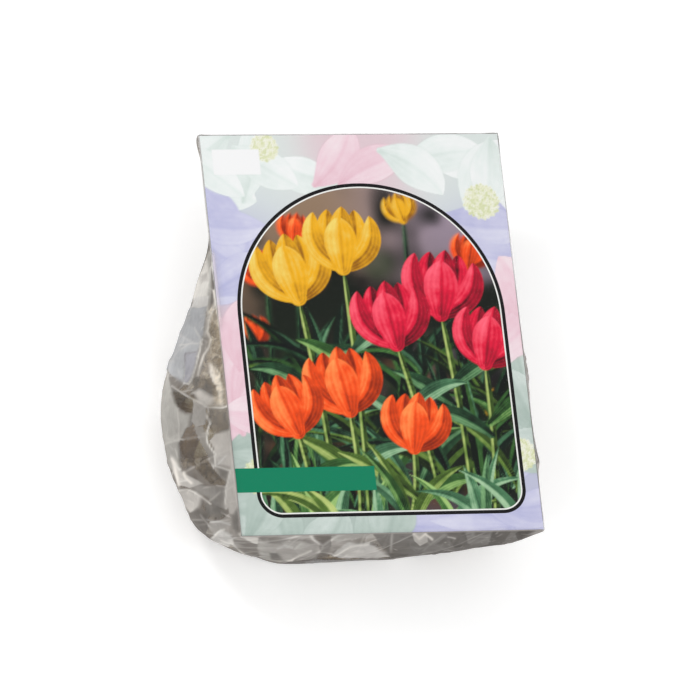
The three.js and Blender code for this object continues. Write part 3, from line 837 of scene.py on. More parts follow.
def corner_column(rings, right, up):
    """The column of the film at a corner of the rim."""
    return int(np.argmax(rings[2, :, 0] * right / RIM_X + rings[2, :, 1] * up / RIM_Y))


def held_back(points, relief):
    """The relief, less where the film is tight, wrapped round the card, or under the bag."""
    held = clamp01((WRAP_Z + 0.3 - points[:, 2]) / 6) * (points[:, 2] > 0.3)
    relief = relief * (np.maximum(slack(points), 0.12) * held)
    under = smooth(7, 3, points[:, 2])
    return np.where(relief > 0, relief * (1 - under), relief)


def edge_tones(points):
    """The film over the card's cut edge: grey along the lower left, nearly clear elsewhere."""
    pale = np.maximum(smooth(-20, 20, points[:, 1]), points[:, 0] > RIM_X - 1)
    return np.column_stack([mixed(srgb("#97918C"), srgb("#FAF9F9"), pale), 0.9 - 0.75 * pale])


def crinkled_sides(sides, normals):
    """The sides and the back with their creases: how far the film stands out, its points, and its
    tones."""
    flat, outward = sides.reshape(-1, 3), normals.reshape(-1, 3)
    relief, tone, haze = crumple(flat, outward, unrolled(sides))
    seam_relief, seam_share = seams(flat)
    relief = held_back(flat, relief) + seam_relief
    moved = flat + outward * relief[:, None]
    moved[:, 2] = np.maximum(moved[:, 2], 0.0)
    tone = mixed(tone, srgb("#D5D2CE"), 0.5 * seam_share)
    tones = np.column_stack([tone, clamp01(haze + 0.2 * seam_share)])
    edge = flat[:, 2] > WRAP_Z + 0.5
    tones[edge] = edge_tones(flat[edge])
    shape = sides.shape[:2]
    return relief.reshape(shape), moved.reshape(sides.shape), tones.reshape(*shape, 4)


def make_film():
    """The four stretches of the film. Its smooth form, relief and points are returned for what it
    holds."""
    front, sides = film_form()
    normals = ring_normals(sides)
    relief, rings, tones = crinkled_sides(sides, normals)
    material = film_material()

    pane = front.copy()
    pane[..., 2] += 0.12 * wander(front.reshape(-1, 3), 60, 9).reshape(front.shape[:2])
    pane = np.concatenate([pane, rings[:1]])
    front_tones = pane_tones(pane.reshape(-1, 3)).reshape(*pane.shape[:2], 4)
    make_film_piece("film_front", np.concatenate([pane, rings[1:2]]),
                    np.concatenate([front_tones, tones[1:2]]), material, pole=[0, 0, FRONT_Z])
    count = sides.shape[1]
    foot = 3 + WALL_ROWS
    first, last = corner_column(sides, 1, -1), corner_column(sides, -1, 1)
    for name, columns in (("film_far_sides", np.arange(first, last + 1)),
                          ("film_near_sides", np.arange(last, first + 1 + count) % count)):
        make_film_piece(name, rings[1:foot, columns], tones[1:foot, columns], material,
                        closed=False)
    make_film_piece("film_back", rings[foot - 1:], tones[foot - 1:], material,
                    pole=[*BACK_POLE, 0.0])
    return sides, normals, relief, rings.reshape(-1, 3)


def tree_of(points):
    """A tree that finds the nearest of the points to a place."""
    tree = KDTree(len(points))
    for index, place in enumerate(points):
        tree.insert(place, index)
    tree.balance()
    return tree


film_rings, film_normals, film_relief, film_points = make_film()
film_tree = tree_of(film_points)


def kept_inside(points, gap):
    """Points moved inwards where they come nearer than gap to the nearest film, or to film close
    by that faces another way."""
    outward = film_normals.reshape(-1, 3)
    for _ in range(INWARD_MOVES):
        close = np.array([[index for _, index, _ in film_tree.find_n(place, CLOSE_FILM)]
                          for place in points])
        faced = outward[close]
        over = np.sum((points[:, None] - film_points[close]) * faced, axis=2) + gap
        alike = np.sum(faced * faced[:, :1], axis=2) > 0.5
        alike[:, 0] = False
        over[alike] = 0
        worst = np.argmax(over, axis=1)
        row = np.arange(len(points))
        points = points - np.maximum(over[row, worst], 0)[:, None] * faced[row, worst]
    return points


# ---- Bulbs ----

# Half outline of a bulb: radius and height, from the foot of the stem hole to the root plate.
BULB_OUTLINE = [
    (4.6, 6), (5.4, 14), (6.6, 21), (8.6, 25), (11.6, 26), (17.5, 24), (24, 19.6), (29.6, 13.4),
    (33.2, 5.6), (34.4, -2.4), (32.6, -10.4), (27.4, -17.6), (19.6, -22.6), (13.2, -24.2),
    (11.6, -26),
]
BULB_ROWS = 84
BULB_SIDES = 160
ROOT_COUNT = 15
ROOT_SIDES = 7
ROOT_TAPER = (1.2, 1, 0.9, 0.7, 0.35)
ROOT_TONES = ("#8A6E4C", "#6E563A", "#A58A62")


def bulb_outline():
    """Radius and height in even steps down the rounded outline."""
    outline = np.array(BULB_OUTLINE, float)
    length = np.concatenate([[0], np.cumsum(np.linalg.norm(np.diff(outline, axis=0), axis=1))])
    places = np.linspace(0, length[-1], BULB_ROWS)
    rows = np.column_stack([np.interp(places, length, outline[:, k]) for k in (0, 1)])
    for _ in range(6):
        rows[1:-1] = 0.25 * rows[:-2] + 0.5 * rows[1:-1] + 0.25 * rows[2:]
    return rows


def bulb_surface(number):
    """Points and tones of a bulb about its own middle: three thick scales with torn brown skin."""
    rows = bulb_outline()
    angle = np.arange(BULB_SIDES) * 2 * math.pi / BULB_SIDES
    radius, height = rows[:, 0][:, None], rows[:, 1][:, None]
    lean = angle[None, :] + 0.006 * (height + 10) + 0.08 * np.sin(height / 9 + number)
    across = (lean * 3 / (2 * math.pi)) % 1
    step = 0.07 * (0.5 - across) - 0.05 * (1 - np.sin(math.pi * across))
    radius = radius * (1 + clamp01((height + 22) / 40) * step)
    flat = np.stack([radius * np.cos(angle), radius * np.sin(angle),
                     np.tile(height, (1, BULB_SIDES))], axis=-1).reshape(-1, 3)
    around = np.column_stack([np.tile(angle * 30, BULB_ROWS), flat[:, 2] * 0.12])
    fibre = wander(around, 1.1, 61 + number)
    lumps = wander(flat, 13, 62 + number)
    skin = smooth(0.02, 0.16, wander(warped(flat, 4, 9, 63), 15, 66 + number)
                  + 0.25 * smooth(-8, -22, flat[:, 2]) + 0.10 * fibre)
    fresh = wander(flat, 5, 67 + number)
    outward = flat / np.maximum(np.linalg.norm(flat, axis=1), 1e-6)[:, None]
    flat = flat + outward * (0.45 * lumps + 0.10 * fibre + 0.28 * skin)[:, None]

    tone = mixed(srgb("#E6D9B6"), srgb("#CDB487"), clamp01(0.5 + 0.6 * fresh + 0.3 * lumps))
    bark = mixed(srgb("#A07C50"), srgb("#6A4E34"), clamp01(0.5 + 0.5 * fibre + 0.5 * fresh))
    tone = mixed(tone, bark, 0.9 * skin)
    seam = np.exp(-(np.minimum(across, 1 - across) * 60 / 1.6) ** 2).reshape(-1)
    tone = mixed(tone, srgb("#5C452E"), 0.75 * seam)
    hole = smooth(9.5, 6.0, np.hypot(flat[:, 0], flat[:, 1])) * (flat[:, 2] > 0)
    tone = mixed(tone, srgb("#4A3726"), hole)
    plate = smooth(15, 12, np.hypot(flat[:, 0], flat[:, 1])) * (flat[:, 2] < -20)
    tone = mixed(tone, srgb("#7D6447"), plate)
    return flat, tone


def add_root(points, faces, tones, line, thick, colour):
    """A root stub that tapers along a line of points, closed at its tip."""
    first = len(points)
    sides = ROOT_SIDES
    for k, centre in enumerate(line):
        ahead = line[min(k + 1, len(line) - 1)] - line[max(k - 1, 0)]
        across = Vector(ahead).orthogonal().normalized()
        aside = Vector(ahead).normalized().cross(across)
        for i in range(sides):
            turn = 2 * math.pi * i / sides
            rim = math.cos(turn) * np.array(across) + math.sin(turn) * np.array(aside)
            points.append(centre + thick * ROOT_TAPER[k] * rim)
            tones.append(colour)
        if k:
            for i in range(sides):
                here = first + (k - 1) * sides
                after = (i + 1) % sides
                faces.append([here + i, here + after, here + sides + after, here + sides + i])
    faces.append([first + (len(line) - 1) * sides + i for i in range(sides)])


def bulb_material():
    """Fleshy scales with papery brown skin."""
    nodes = Nodes("bulb_scale_and_skin")
    where = nodes.coordinates()
    tone = nodes.add("Attribute", attribute_name="tone")
    specks = nodes.add("TexNoise", {"Vector": where, "Scale": 0.9, "Detail": 4.0})
    shade = nodes.ramp(specks.outputs[0], [(0.3, "#C9BFB0"), (0.55, "#FFFFFF")])
    colour = nodes.times(0.6, tone.outputs["Color"], shade)
    bump = nodes.add("Bump", {"Height": specks.outputs[0], "Strength": 0.5, "Distance": 0.0003})
    return nodes.finish({"Base Color": colour, "Roughness": 0.55, "Normal": bump.outputs[0]})


def make_bulbs():
    """The three bulbs, each with its root stubs, turned as it lies in the bag."""
    material = bulb_material()
    draw = random.Random(3)
    for number, (name, at, crown, turn) in enumerate(BULBS):
        flat, tone = bulb_surface(number)
        faces = ring_faces(BULB_ROWS, BULB_SIDES).tolist()
        points, tones = list(flat), list(tone)
        hole_foot = list(range(BULB_SIDES))
        plate_end = list(range((BULB_ROWS - 1) * BULB_SIDES, len(flat)))
        faces += [hole_foot, plate_end[::-1]]
        for k in range(ROOT_COUNT):
            away = draw.uniform(3, 9)
            turned = k * GOLDEN_ANGLE + draw.uniform(-0.2, 0.2)
            out = np.array([math.cos(turned), math.sin(turned), 0.0])
            long = draw.uniform(4, 8)
            start = out * away + (0, 0, -24.5)
            line = [start + out * long * 0.5 * s * s + np.array([0, 0, -long * s])
                    for s in (0, 0.25, 0.5, 0.75, 1.0)]
            thick = draw.uniform(0.6, 1.1)
            add_root(points, faces, tones, line, thick, srgb(draw.choice(ROOT_TONES)))
        aim = Vector((0, 0, 1)).rotation_difference(Vector(crown)) @ Quaternion((0, 0, 1), turn)
        matrix = np.array(aim.to_matrix())
        placed = kept_inside(np.array(points) @ matrix.T + at, 0.3)
        colours = np.column_stack([np.array(tones), np.ones(len(points))])
        bulb = make_piece(name + "_scales", placed, faces, material, colours)
        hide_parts(name)


# ---- Wood shavings ----

CONTENTS_END = 88.0            # y where the bed ends under the flap
CONTENTS_DROOP = 54.0          # how far its end falls back at its sides
BED_GAP = 1.1                  # between the film and the bed of shavings at least
BED_TOP = 74.5                 # the bed lies between these heights
BED_FOOT = 0.9
BED_POLES = ([0, -20, 74.2], [*BACK_POLE, 1.2])    # middles of its top and its underside
FLAKES = (6, (1.6, 1.0, 0.8), 5)   # size, stretch and seed, as for the film's facets
CURLS = 2600
CURL_HEIGHTS = (0.7, 74.4)
CURL_STEPS, CURL_STRIPS = 7, 2


def bed_end(x):
    """How far the bed of shavings reaches towards the top end."""
    return CONTENTS_END - CONTENTS_DROOP * np.minimum(1, (np.abs(x) / 100) ** 8)


def sunk_at_bulbs(points):
    """How deep the bed lies under the film where a bulb takes its room."""
    depth = np.zeros(len(points))
    for _, at, _, _ in BULBS:
        gap = np.linalg.norm(points - at, axis=1)
        depth = np.maximum(depth, 9 * smooth(BULB_RADIUS + 5, BULB_RADIUS + 1, gap))
    return depth


def shavings_material():
    """Pale softwood shavings, with painted shade between the flakes."""
    nodes = Nodes("wood_shavings")
    where = nodes.coordinates()
    tone = nodes.add("Attribute", attribute_name="tone")
    grain = nodes.add("TexNoise", {"Vector": where, "Scale": 1.3, "Detail": 4.0, "Distortion": 1.5})
    shade = nodes.ramp(grain.outputs[0], [(0.35, "#B8A98C"), (0.6, "#FFFFFF")])
    colour = nodes.times(0.8, tone.outputs["Color"], shade)
    bump = nodes.add("Bump", {"Height": grain.outputs[0], "Strength": 0.7, "Distance": 0.0004})
    return nodes.finish({"Base Color": colour, "Roughness": 0.75, "Normal": bump.outputs[0]})


def shaving_tones(value):
    """Colours of wood, from painted shade between the flakes to their pale faces."""
    tones = shaded(("#4E4132", "#A8926E", "#EFE2C6"), value)
    return np.column_stack([tones, np.ones(len(tones))])


def make_bed(material):
    """The loose bed as one lumpy body under the film, with flakes standing out of it."""
    rings = film_rings[2::2, ::2]
    normals = film_normals[2::2, ::2]
    relief = film_relief[2::2, ::2].reshape(-1)
    flat = rings.reshape(-1, 3)
    flakes, flake_edge, flake_draw = facets(warped(flat, 2, 7, 71), *FLAKES)
    depth = BED_GAP + 1.6 * flakes + 1.2 * flake_draw + sunk_at_bulbs(flat)
    depth = np.minimum(depth, np.maximum(0.35, (BED_TOP - flat[:, 2]) * 0.6 + 0.35))
    moved = flat + normals.reshape(-1, 3) * (np.maximum(relief, 0) * 0.7 - depth)[:, None]
    moved[:, 2] = np.maximum(moved[:, 2], BED_FOOT)
    moved[:, 1] = np.minimum(moved[:, 1], bed_end(moved[:, 0]) + 0.8 * wander(flat, 6, 72))
    moved = kept_inside(moved, 0.5)
    # Darker at the flakes' borders: painted shade between the flakes.
    value = clamp01(0.30 + 0.5 * flake_draw + 0.15 * wander(flat, 20, 73)
                    - 0.35 * np.exp(-(flake_edge / 0.5) ** 2))
    rows, count = rings.shape[:2]
    points = np.vstack([moved, BED_POLES])
    tones = shaving_tones(np.append(value, [0.5, 0.5]))
    faces = ring_faces(rows, count).tolist()
    last = (rows - 1) * count
    for i in range(count):
        after = (i + 1) % count
        faces.append([len(points) - 2, i, after])
        faces.append([len(points) - 1, last + after, last + i])
    bed = make_piece("shavings_bed", points, faces, material, tones)
    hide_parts("packing")


def curl_of_wood(draw, place, normal, relief):
    """Points and light of one curled ribbon, row by row, just under the film at its place."""
    side = np.cross(normal, np.array([0.3, 0.2, 1.0]))
    side /= np.linalg.norm(side)
    up = np.cross(side, normal)
    turn = draw.uniform(0, math.pi)
    along = math.cos(turn) * side + math.sin(turn) * up
    across = np.cross(normal, along)
    long, wide = draw.uniform(5, 14), draw.uniform(2, 5)
    curl = draw.uniform(3.5, 9) * draw.choice((1, 1, -1))
    twist = draw.uniform(-0.5, 0.5)
    out = max(relief, 0) * 0.8 - draw.uniform(0.7, 2.4)
    out -= 0.0 if curl > 0 else abs(curl) * (1 - math.cos(long / 2 / curl))
    value = draw.uniform(0.35, 1.0)
    points, light = [], []
    for k in range(CURL_STEPS + 1):
        run = (k / CURL_STEPS - 0.5) * long
        bow = run / curl
        middle = (place + normal * out + along * curl * math.sin(bow)
                  + normal * curl * (math.cos(bow) - 1) + across * twist * run)
        narrow = 1 - 0.5 * (2 * k / CURL_STEPS - 1) ** 4
        for j in range(CURL_STRIPS + 1):
            part = j / CURL_STRIPS - 0.5
            points.append(middle + across * wide * narrow * part - normal * 0.5 * (2 * part) ** 2)
            light.append(value - 0.2 * abs(part) + draw.uniform(-0.12, 0.12))
    return points, light


def make_curls(material):
    """Curled ribbons of wood that lie in the bed's surface, just under the film."""
    draw = random.Random(5)
    rim = film_rings[2]
    rim_lengths = np.cumsum(np.linalg.norm(np.roll(rim, -1, axis=0) - rim, axis=1))
    points, faces, light = [], [], []
    row_step = CURL_STRIPS + 1
    for _ in range(CURLS):
        row = draw.randrange(4, len(film_rings) - 14)
        column = int(np.searchsorted(rim_lengths, draw.uniform(0, rim_lengths[-1] - 1)))
        place = film_rings[row, column]
        if place[1] > bed_end(place[0]) - 3 or place[2] < 4:
            continue
        if sunk_at_bulbs(place[None])[0] > 2:
            continue
        first = len(points)
        curl = curl_of_wood(draw, place, film_normals[row, column], film_relief[row, column])
        points += curl[0]
        light += curl[1]
        for k in range(CURL_STEPS):
            for j in range(CURL_STRIPS):
                here = first + k * row_step + j
                faces.append([here, here + 1, here + row_step + 1, here + row_step])
    points = np.array(points)
    points[:, 2] = np.clip(points[:, 2], *CURL_HEIGHTS)
    points = kept_inside(points, 0.35)
    make_piece("shaving_curls", points, faces, material,
               shaving_tones(clamp01(np.array(light))))


# ---- Printed card ----
# A generic design of spring flowers and soft leaves, painted point by point on a fine grid.

CARD_HALF = (100.2, 134.7)
PANEL_MIDDLE = (2.0, 12.0)     # of the arch's round top
PANEL_RADIUS = 87.0
PANEL_FOOT = -121.0
PANEL_CORNER = 14.0
PRINT_CELL = 0.66              # the grid's cells
PRINT_GAP = 0.03               # between the board and the print
PRINT_LAYER = 0.02             # between one layer of the print and the next

# Lines round the arch: inset and colour of the edges of the black line, then of the white one.
PANEL_LINES = ((-2.3, "#0E0C0C"), (0.0, "#0E0C0C"), (0.0, "#F6F6F2"), (0.95, "#F6F6F2"))

# The bare green band and the bare white label: two corners and a colour.
PLAIN_FIELDS = (
    ((-100.0, -106.0), (-8.0, -90.0), "#058560"),
    ((-93.0, 108.0), (-62.0, 125.0), "#FDFDFD"),
)
FIELD_EDGE = 0.3

LEAF_TONES = [
    ("#0D1D0C", "#3F6E33", "#A6CB7A"),
    ("#12281A", "#4C7E58", "#B4D8AE"),
    ("#18270E", "#5A7A30", "#C6D680"),
    ("#0A180F", "#2E5836", "#7FAE78"),
]
FLOWER_TONES = {
    "red": ("#640718", "#DE143A", "#FF6C80"),
    "orange": ("#8A2404", "#F04E14", "#FFA258"),
    "yellow": ("#96600A", "#F6B61A", "#FFEA80"),
}
GARDEN_TONES = ("#2E4422", "#1C2616", "#4A5A30", "#0C0A08", "#080706", "#6A4426")

# Petals of a cup, the back ones first, in shares of its height: how far the bend and the tip lie
# out and up, and the half width. Then their light, the side it comes from, and how much they fold.
PETALS = [
    ((-0.30, 0.45), (-0.22, 0.98), 0.20, 0.22, 1, 0.55),
    ((0.30, 0.45), (0.22, 0.99), 0.20, 0.22, -1, 0.55),
    ((0.0, 0.5), (0.02, 1.04), 0.22, 0.30, 1, 0.55),
    ((-0.62, 0.26), (-0.46, 0.92), 0.19, 0.46, 1, 0.55),
    ((0.62, 0.26), (0.47, 0.90), 0.19, 0.40, 1, 0.55),
    ((-0.02, 0.45), (-0.04, 0.86), 0.27, 0.60, 1, 0.30),
]

# Blurred flowers at the back of the picture: foot of the cup, its height, its lean and its kind.
FAR_FLOWERS = [
    ((-66, 34), 22, -0.3, "orange"), ((-45, 62), 19, 0.2, "orange"), ((70, 44), 22, 0.3, "orange"),
    ((30, 76), 18, -0.2, "yellow"), ((-78, -8), 20, -0.2, "orange"), ((76, -60), 20, 0.3, "yellow"),
]

# Flowers at the front: foot of the stem, foot of the cup, the cup's height, its lean and its kind.
FLOWERS = [
    ((-34, -120), (-46, 24), 42, -0.14, "yellow"), ((-14, -120), (-14, 44), 40, 0.06, "yellow"),
    ((56, -124), (48, 12), 42, 0.16, "red"), ((36, -124), (16, -8), 41, -0.10, "red"),
    ((70, -124), (74, -22), 38, 0.26, "red"), ((-20, -124), (-20, -52), 41, -0.12, "orange"),
    ((-50, -124), (-56, -66), 38, -0.28, "orange"), ((14, -124), (20, -78), 36, 0.18, "orange"),
]


class Print:
    """Colours of a set of points of the print, painted over one after the other."""

    def __init__(self, points, ground):
        self.points = points
        self.colours = np.tile(srgb(ground), (len(points), 1))

    def near(self, low, high):
        """The points within a box."""
        inside = np.all((self.points >= low) & (self.points <= high), axis=1)
        return np.nonzero(inside)[0]

    def cover(self, where, colours, share):
        """Paints colours over the chosen points."""
        self.colours[where] = mixed(self.colours[where], colours, share)


def along_path(points, path):
    """How far along a bent path each point lies, from 0 to 1, and how far to its left in mm."""
    start, bend, end = (np.asarray(point, float) for point in path)
    t = np.linspace(0, 1, 21)[:, None]
    line = (1 - t) ** 2 * start + 2 * t * (1 - t) * bend + t * t * end
    step = line[1:] - line[:-1]
    gap = points[:, None] - line[None, :-1]
    length = np.maximum(np.sum(step * step, axis=1), 1e-9)
    part = clamp01(np.einsum("nmk,mk->nm", gap, step) / length)
    away = gap - part[..., None] * step
    distance = np.hypot(away[..., 0], away[..., 1])
    best = np.argmin(distance, axis=1)
    row = np.arange(len(points))
    left = step[best, 0] * away[row, best, 1] - step[best, 1] * away[row, best, 0]
    return (best + part[row, best]) / len(step), np.sign(left) * distance[row, best]


def paint_blade(sheet, path, width, tones, base=0.3, belly=0.35, tip=(1.5, 0.9), lit=1.0,
                fold=0.5, rise=0.2, veins=0.1, soft=0.4, share=1.0, level=0.5):
    """A leaf or petal along a path: half width, its tones, and how its light falls."""
    corners = np.array(path, float)
    reach = width + soft + 1
    where = sheet.near(corners.min(axis=0) - reach, corners.max(axis=0) + reach)
    if not len(where):
        return
    points = sheet.points[where]
    t, left = along_path(points, path)
    grow = base + (1 - base) * np.sin(clamp01(t / belly) * math.pi / 2)
    taper = (1 - clamp01((t - belly) / (1 - belly)) ** tip[0]) ** tip[1]
    half = np.maximum(width * grow * taper, 1e-3)
    across = np.clip(left / half, -1, 1)
    value = level + 0.5 * fold * lit * np.tanh(4 * across) * (1 - 0.4 * np.abs(across))
    value = value + rise * (t - 0.5) + veins * np.sin(across * 19) * (1 - 0.5 * t)
    value = value + 0.10 * wander(points, 5, 11) + 0.05 * wander(points, 1.6, 12)
    value = value - 0.22 * np.exp(-(left / (0.10 * width + 0.25)) ** 2) * (fold > 0)
    covered = smooth(-soft, soft, half - np.abs(left)) * share
    sheet.cover(where, shaded(tones, clamp01(value)), covered)


def paint_spot(sheet, middle, radius, colour, soft, share=1.0):
    """A round spot with a soft edge."""
    middle = np.asarray(middle, float)
    where = sheet.near(middle - radius - soft, middle + radius + soft)
    gap = np.linalg.norm(sheet.points[where] - middle, axis=1)
    sheet.cover(where, srgb(colour), smooth(radius + soft, radius - soft, gap) * share)


def paint_flower(sheet, foot, height, lean, kind, soft=0.4, level=0.0):
    """A cup of six broad petals that opens upwards."""
    foot = np.asarray(foot, float)
    up = np.array([math.sin(lean), math.cos(lean)])
    side = np.array([up[1], -up[0]])
    for bend, tip, width, value, lit, fold in PETALS:
        path = [foot, foot + height * (bend[0] * side + bend[1] * up),
                foot + height * (tip[0] * side + tip[1] * up)]
        paint_blade(sheet, path, width * height, FLOWER_TONES[kind], base=0.5, belly=0.5,
                    tip=(2.3, 0.75), lit=lit, fold=fold, rise=0.35, veins=0.07, soft=soft,
                    level=value + level)


def paint_leaves(sheet, draw, foot, count, length, spread, width, soft, level):
    """A fan of strap leaves from one foot."""
    for _ in range(count):
        lean = draw.uniform(-spread, spread)
        long = length * draw.uniform(0.6, 1.1)
        droop = lean * draw.uniform(0.5, 1.3)
        start = np.array(foot) + [draw.uniform(-4, 4), draw.uniform(-3, 3)]
        bend = start + 0.6 * long * np.array([math.sin(lean * 0.5), math.cos(lean * 0.5)])
        end = start + long * np.array([math.sin(lean + droop * 0.5), math.cos(lean + droop * 0.5)])
        paint_blade(sheet, [start, bend, end], width * draw.uniform(0.7, 1.2),
                    draw.choice(LEAF_TONES), base=0.45, tip=(1.7, 1.0), lit=draw.choice((-1, 1)),
                    fold=draw.uniform(0.35, 0.7), rise=draw.uniform(-0.1, 0.4), veins=0.08,
                    soft=soft, level=level + draw.uniform(-0.2, 0.2))


def paint_panel(points):
    """The picture in the arch: cup flowers and strap leaves before a dark garden."""
    draw = random.Random(7)
    sheet = Print(points, "#0E0A08")
    cloud = 0.5 + 0.5 * wander(points, 34, 21) + 0.25 * wander(points, 15, 22)
    high = smooth(-20, 100, points[:, 1])
    warm = mixed(srgb("#8E7660"), srgb("#9A8A98"), smooth(-30, 60, points[:, 0]))
    sheet.cover(slice(None), warm, smooth(0.15, 0.8, cloud) * (0.25 + 0.75 * high))
    sheet.cover(slice(None), srgb("#1E2C18"), smooth(0.25, 0.9, 1 - cloud) * (1 - 0.6 * high) * 0.8)
    for _ in range(60):
        middle = (draw.uniform(-90, 92), draw.uniform(-125, 80))
        colour = draw.choice(GARDEN_TONES)
        paint_spot(sheet, middle, draw.uniform(3, 11), colour, draw.uniform(5, 9), 0.6)

    for foot, height, lean, kind in FAR_FLOWERS:
        foot = np.array(foot, float)
        paint_blade(sheet, [foot - (4, 80), foot - (0, 40), foot], 1.6, LEAF_TONES[3], base=1,
                    tip=(8, 1), fold=0.4, soft=2.0, level=0.3)
        paint_flower(sheet, foot, height, lean, kind, soft=1.8, level=-0.10)
    for x in range(-88, 96, 15):
        paint_leaves(sheet, draw, (x, -70 + draw.uniform(-30, 40)), count=6, length=78,
                     spread=1.0, width=3.6, soft=1.3, level=0.10)
    for x in range(-84, 96, 21):
        paint_leaves(sheet, draw, (x, -112 + draw.uniform(-14, 14)), count=5, length=84,
                     spread=0.9, width=3.8, soft=0.6, level=0.30)

    for stem_foot, top, height, lean, kind in FLOWERS:
        bend = ((stem_foot[0] + top[0]) / 2 + 4, (stem_foot[1] + top[1]) / 2)
        paint_blade(sheet, [stem_foot, bend, top], 2.0, LEAF_TONES[2], base=1, tip=(9, 1), fold=0.8,
                    soft=0.5, level=0.45)
        for lean_out in (-1, 1):
            reach = draw.uniform(34, 52)
            foot = np.array(stem_foot) * 0.25 + np.array(top) * 0.75 - (0, draw.uniform(14, 30))
            paint_blade(sheet, [foot, foot + (lean_out * 0.55 * reach, 0.5 * reach),
                                foot + (lean_out * reach, 0.62 * reach * draw.uniform(0.4, 1.1))],
                        5.2, draw.choice(LEAF_TONES), base=0.4, lit=-lean_out, fold=0.6, rise=0.3,
                        soft=0.45, level=0.52)
        paint_flower(sheet, top, height, lean, kind)
    for x in range(-80, 92, 24):
        paint_leaves(sheet, draw, (x, -138 + draw.uniform(-6, 6)), count=4, length=62,
                     spread=0.8, width=4.4, soft=0.4, level=0.60)
    light = sheet.colours @ (0.21, 0.72, 0.07)
    lift = 0.18 * smooth(0.08, 0.2, light) * smooth(0.6, 0.35, light)
    return sheet.colours * (0.45 + 0.55 * smooth(0, 0.07, light) + lift)[:, None]


PASTELS = {
    "white": ("#DBE7E1", "#F0F7F4", "#FFFFFF"),
    "rose": ("#ECC0CD", "#F6D7E1", "#FCEDF1"),
    "lilac": ("#B8BAE0", "#CFCFEB", "#E6E6F6"),
    "sage": ("#A9BBB2", "#C0CFC7", "#DEE8E3"),
}

# Parts of the ground: place, reach in mm, and the pastel of the leaves there.
GROUND_ZONES = [
    ((80, 120), 60, "white"), ((10, 130), 50, "rose"), ((-80, 120), 60, "white"),
    ((96, 60), 50, "lilac"), ((96, 5), 40, "rose"), ((94, -45), 40, "sage"),
    ((85, -115), 60, "lilac"), ((-96, 60), 50, "lilac"), ((-96, -20), 60, "rose"),
    ((-80, -118), 60, "sage"),
]

# Cream blossoms on the ground: middle and radius. Each is a disc of florets laid out in a spiral.
BLOSSOMS = (((-82, -96), 13), ((84, 88), 12), ((-58, 126), 9), ((90, -84), 11))
FLORETS = 150
FLORET_TONES = ("#F4F5DA", "#FBFBEE", "#E3E8BE")


def paint_ground(points):
    """Soft overlapping leaves in pastels, and small cream blossoms."""
    draw = random.Random(11)
    sheet = Print(points, "#B9C8C1")
    middles = np.array([zone[0] for zone in GROUND_ZONES], float)
    reaches = np.array([zone[1] for zone in GROUND_ZONES], float)
    gap = np.linalg.norm(points[:, None] - middles[None], axis=2) / reaches
    pull = np.exp(-2.5 * gap ** 2) + 1e-6
    tones = np.array([srgb(PASTELS[zone[2]][1]) for zone in GROUND_ZONES])
    base = (pull @ tones) / pull.sum(axis=1)[:, None]
    sheet.cover(slice(None), base * 0.93, 0.85)
    places = [(x, 116) for x in range(-96, 104, 22)] + [(x, -130) for x in range(-92, 104, 24)]
    places += [(x, y) for x in (-97, -84, 88, 97) for y in range(-120, 124, 25)]
    draw.shuffle(places)
    for place in places:
        place = np.array(place) + [draw.uniform(-6, 6), draw.uniform(-8, 8)]
        gap = np.linalg.norm(middles - place, axis=1) / reaches
        zone = GROUND_ZONES[int(np.argmin(gap + [draw.uniform(0, 0.45) for _ in middles]))]
        leaf = PASTELS[zone[2]]
        turn = draw.uniform(0, 2 * math.pi)
        long = draw.uniform(42, 62)
        along = np.array([math.cos(turn), math.sin(turn)])
        aside = np.array([-along[1], along[0]]) * draw.uniform(-0.25, 0.25)
        path = [place - along * long / 2, place + aside * long, place + along * long / 2]
        lit = draw.choice((-1, 1))
        wide = draw.uniform(10, 16)
        paint_blade(sheet, path, wide + 0.5, (leaf[0],) * 3, base=0.15, belly=0.5, tip=(2.0, 0.85),
                    fold=0.0, rise=0.0, veins=0.0, soft=1.2, share=0.45)
        paint_blade(sheet, path, wide, leaf, base=0.15, belly=0.5, tip=(2.0, 0.85), lit=lit,
                    fold=0.3, rise=0.5, veins=0.05, soft=0.3, level=0.58)
    for middle, size in BLOSSOMS:
        paint_spot(sheet, middle, size * 0.9, "#DDE3B4", 1.2, 0.9)
        for k in range(FLORETS):
            away = size * math.sqrt(k / FLORETS)
            turn = k * GOLDEN_ANGLE
            spot = (middle[0] + away * math.cos(turn), middle[1] + away * math.sin(turn))
            paint_spot(sheet, spot, 1.05, draw.choice(FLORET_TONES), 0.5)
            paint_spot(sheet, spot, 0.35, "#C9D08E", 0.3, 0.7)
    return sheet.colours


def panel_gap(points):
    """How far each point lies inside the arch, in mm; negative outside."""
    x = np.abs(points[:, 0] - PANEL_MIDDLE[0])
    y = points[:, 1]
    top = PANEL_RADIUS - np.hypot(x, np.maximum(y - PANEL_MIDDLE[1], 0))
    corner = np.hypot(np.maximum(x - PANEL_RADIUS + PANEL_CORNER, 0),
                      np.maximum(PANEL_FOOT + PANEL_CORNER - y, 0))
    foot = np.minimum(PANEL_CORNER - corner, np.minimum(PANEL_RADIUS - x, y - PANEL_FOOT))
    return np.minimum(top, foot)


def paint_card(points):
    """The ground, the picture in its arch, which runs on a little under the lines round it, and
    the plain fields, which run on a little beyond the ones laid over them."""
    colours = paint_ground(points)
    inside = panel_gap(points) > -1
    colours[inside] = paint_panel(points[inside])
    for low, high, colour in PLAIN_FIELDS:
        gap = np.minimum(points - low, high - points).min(axis=1)
        colours = mixed(colours, srgb(colour), smooth(-FIELD_EDGE, FIELD_EDGE, gap))
    return colours


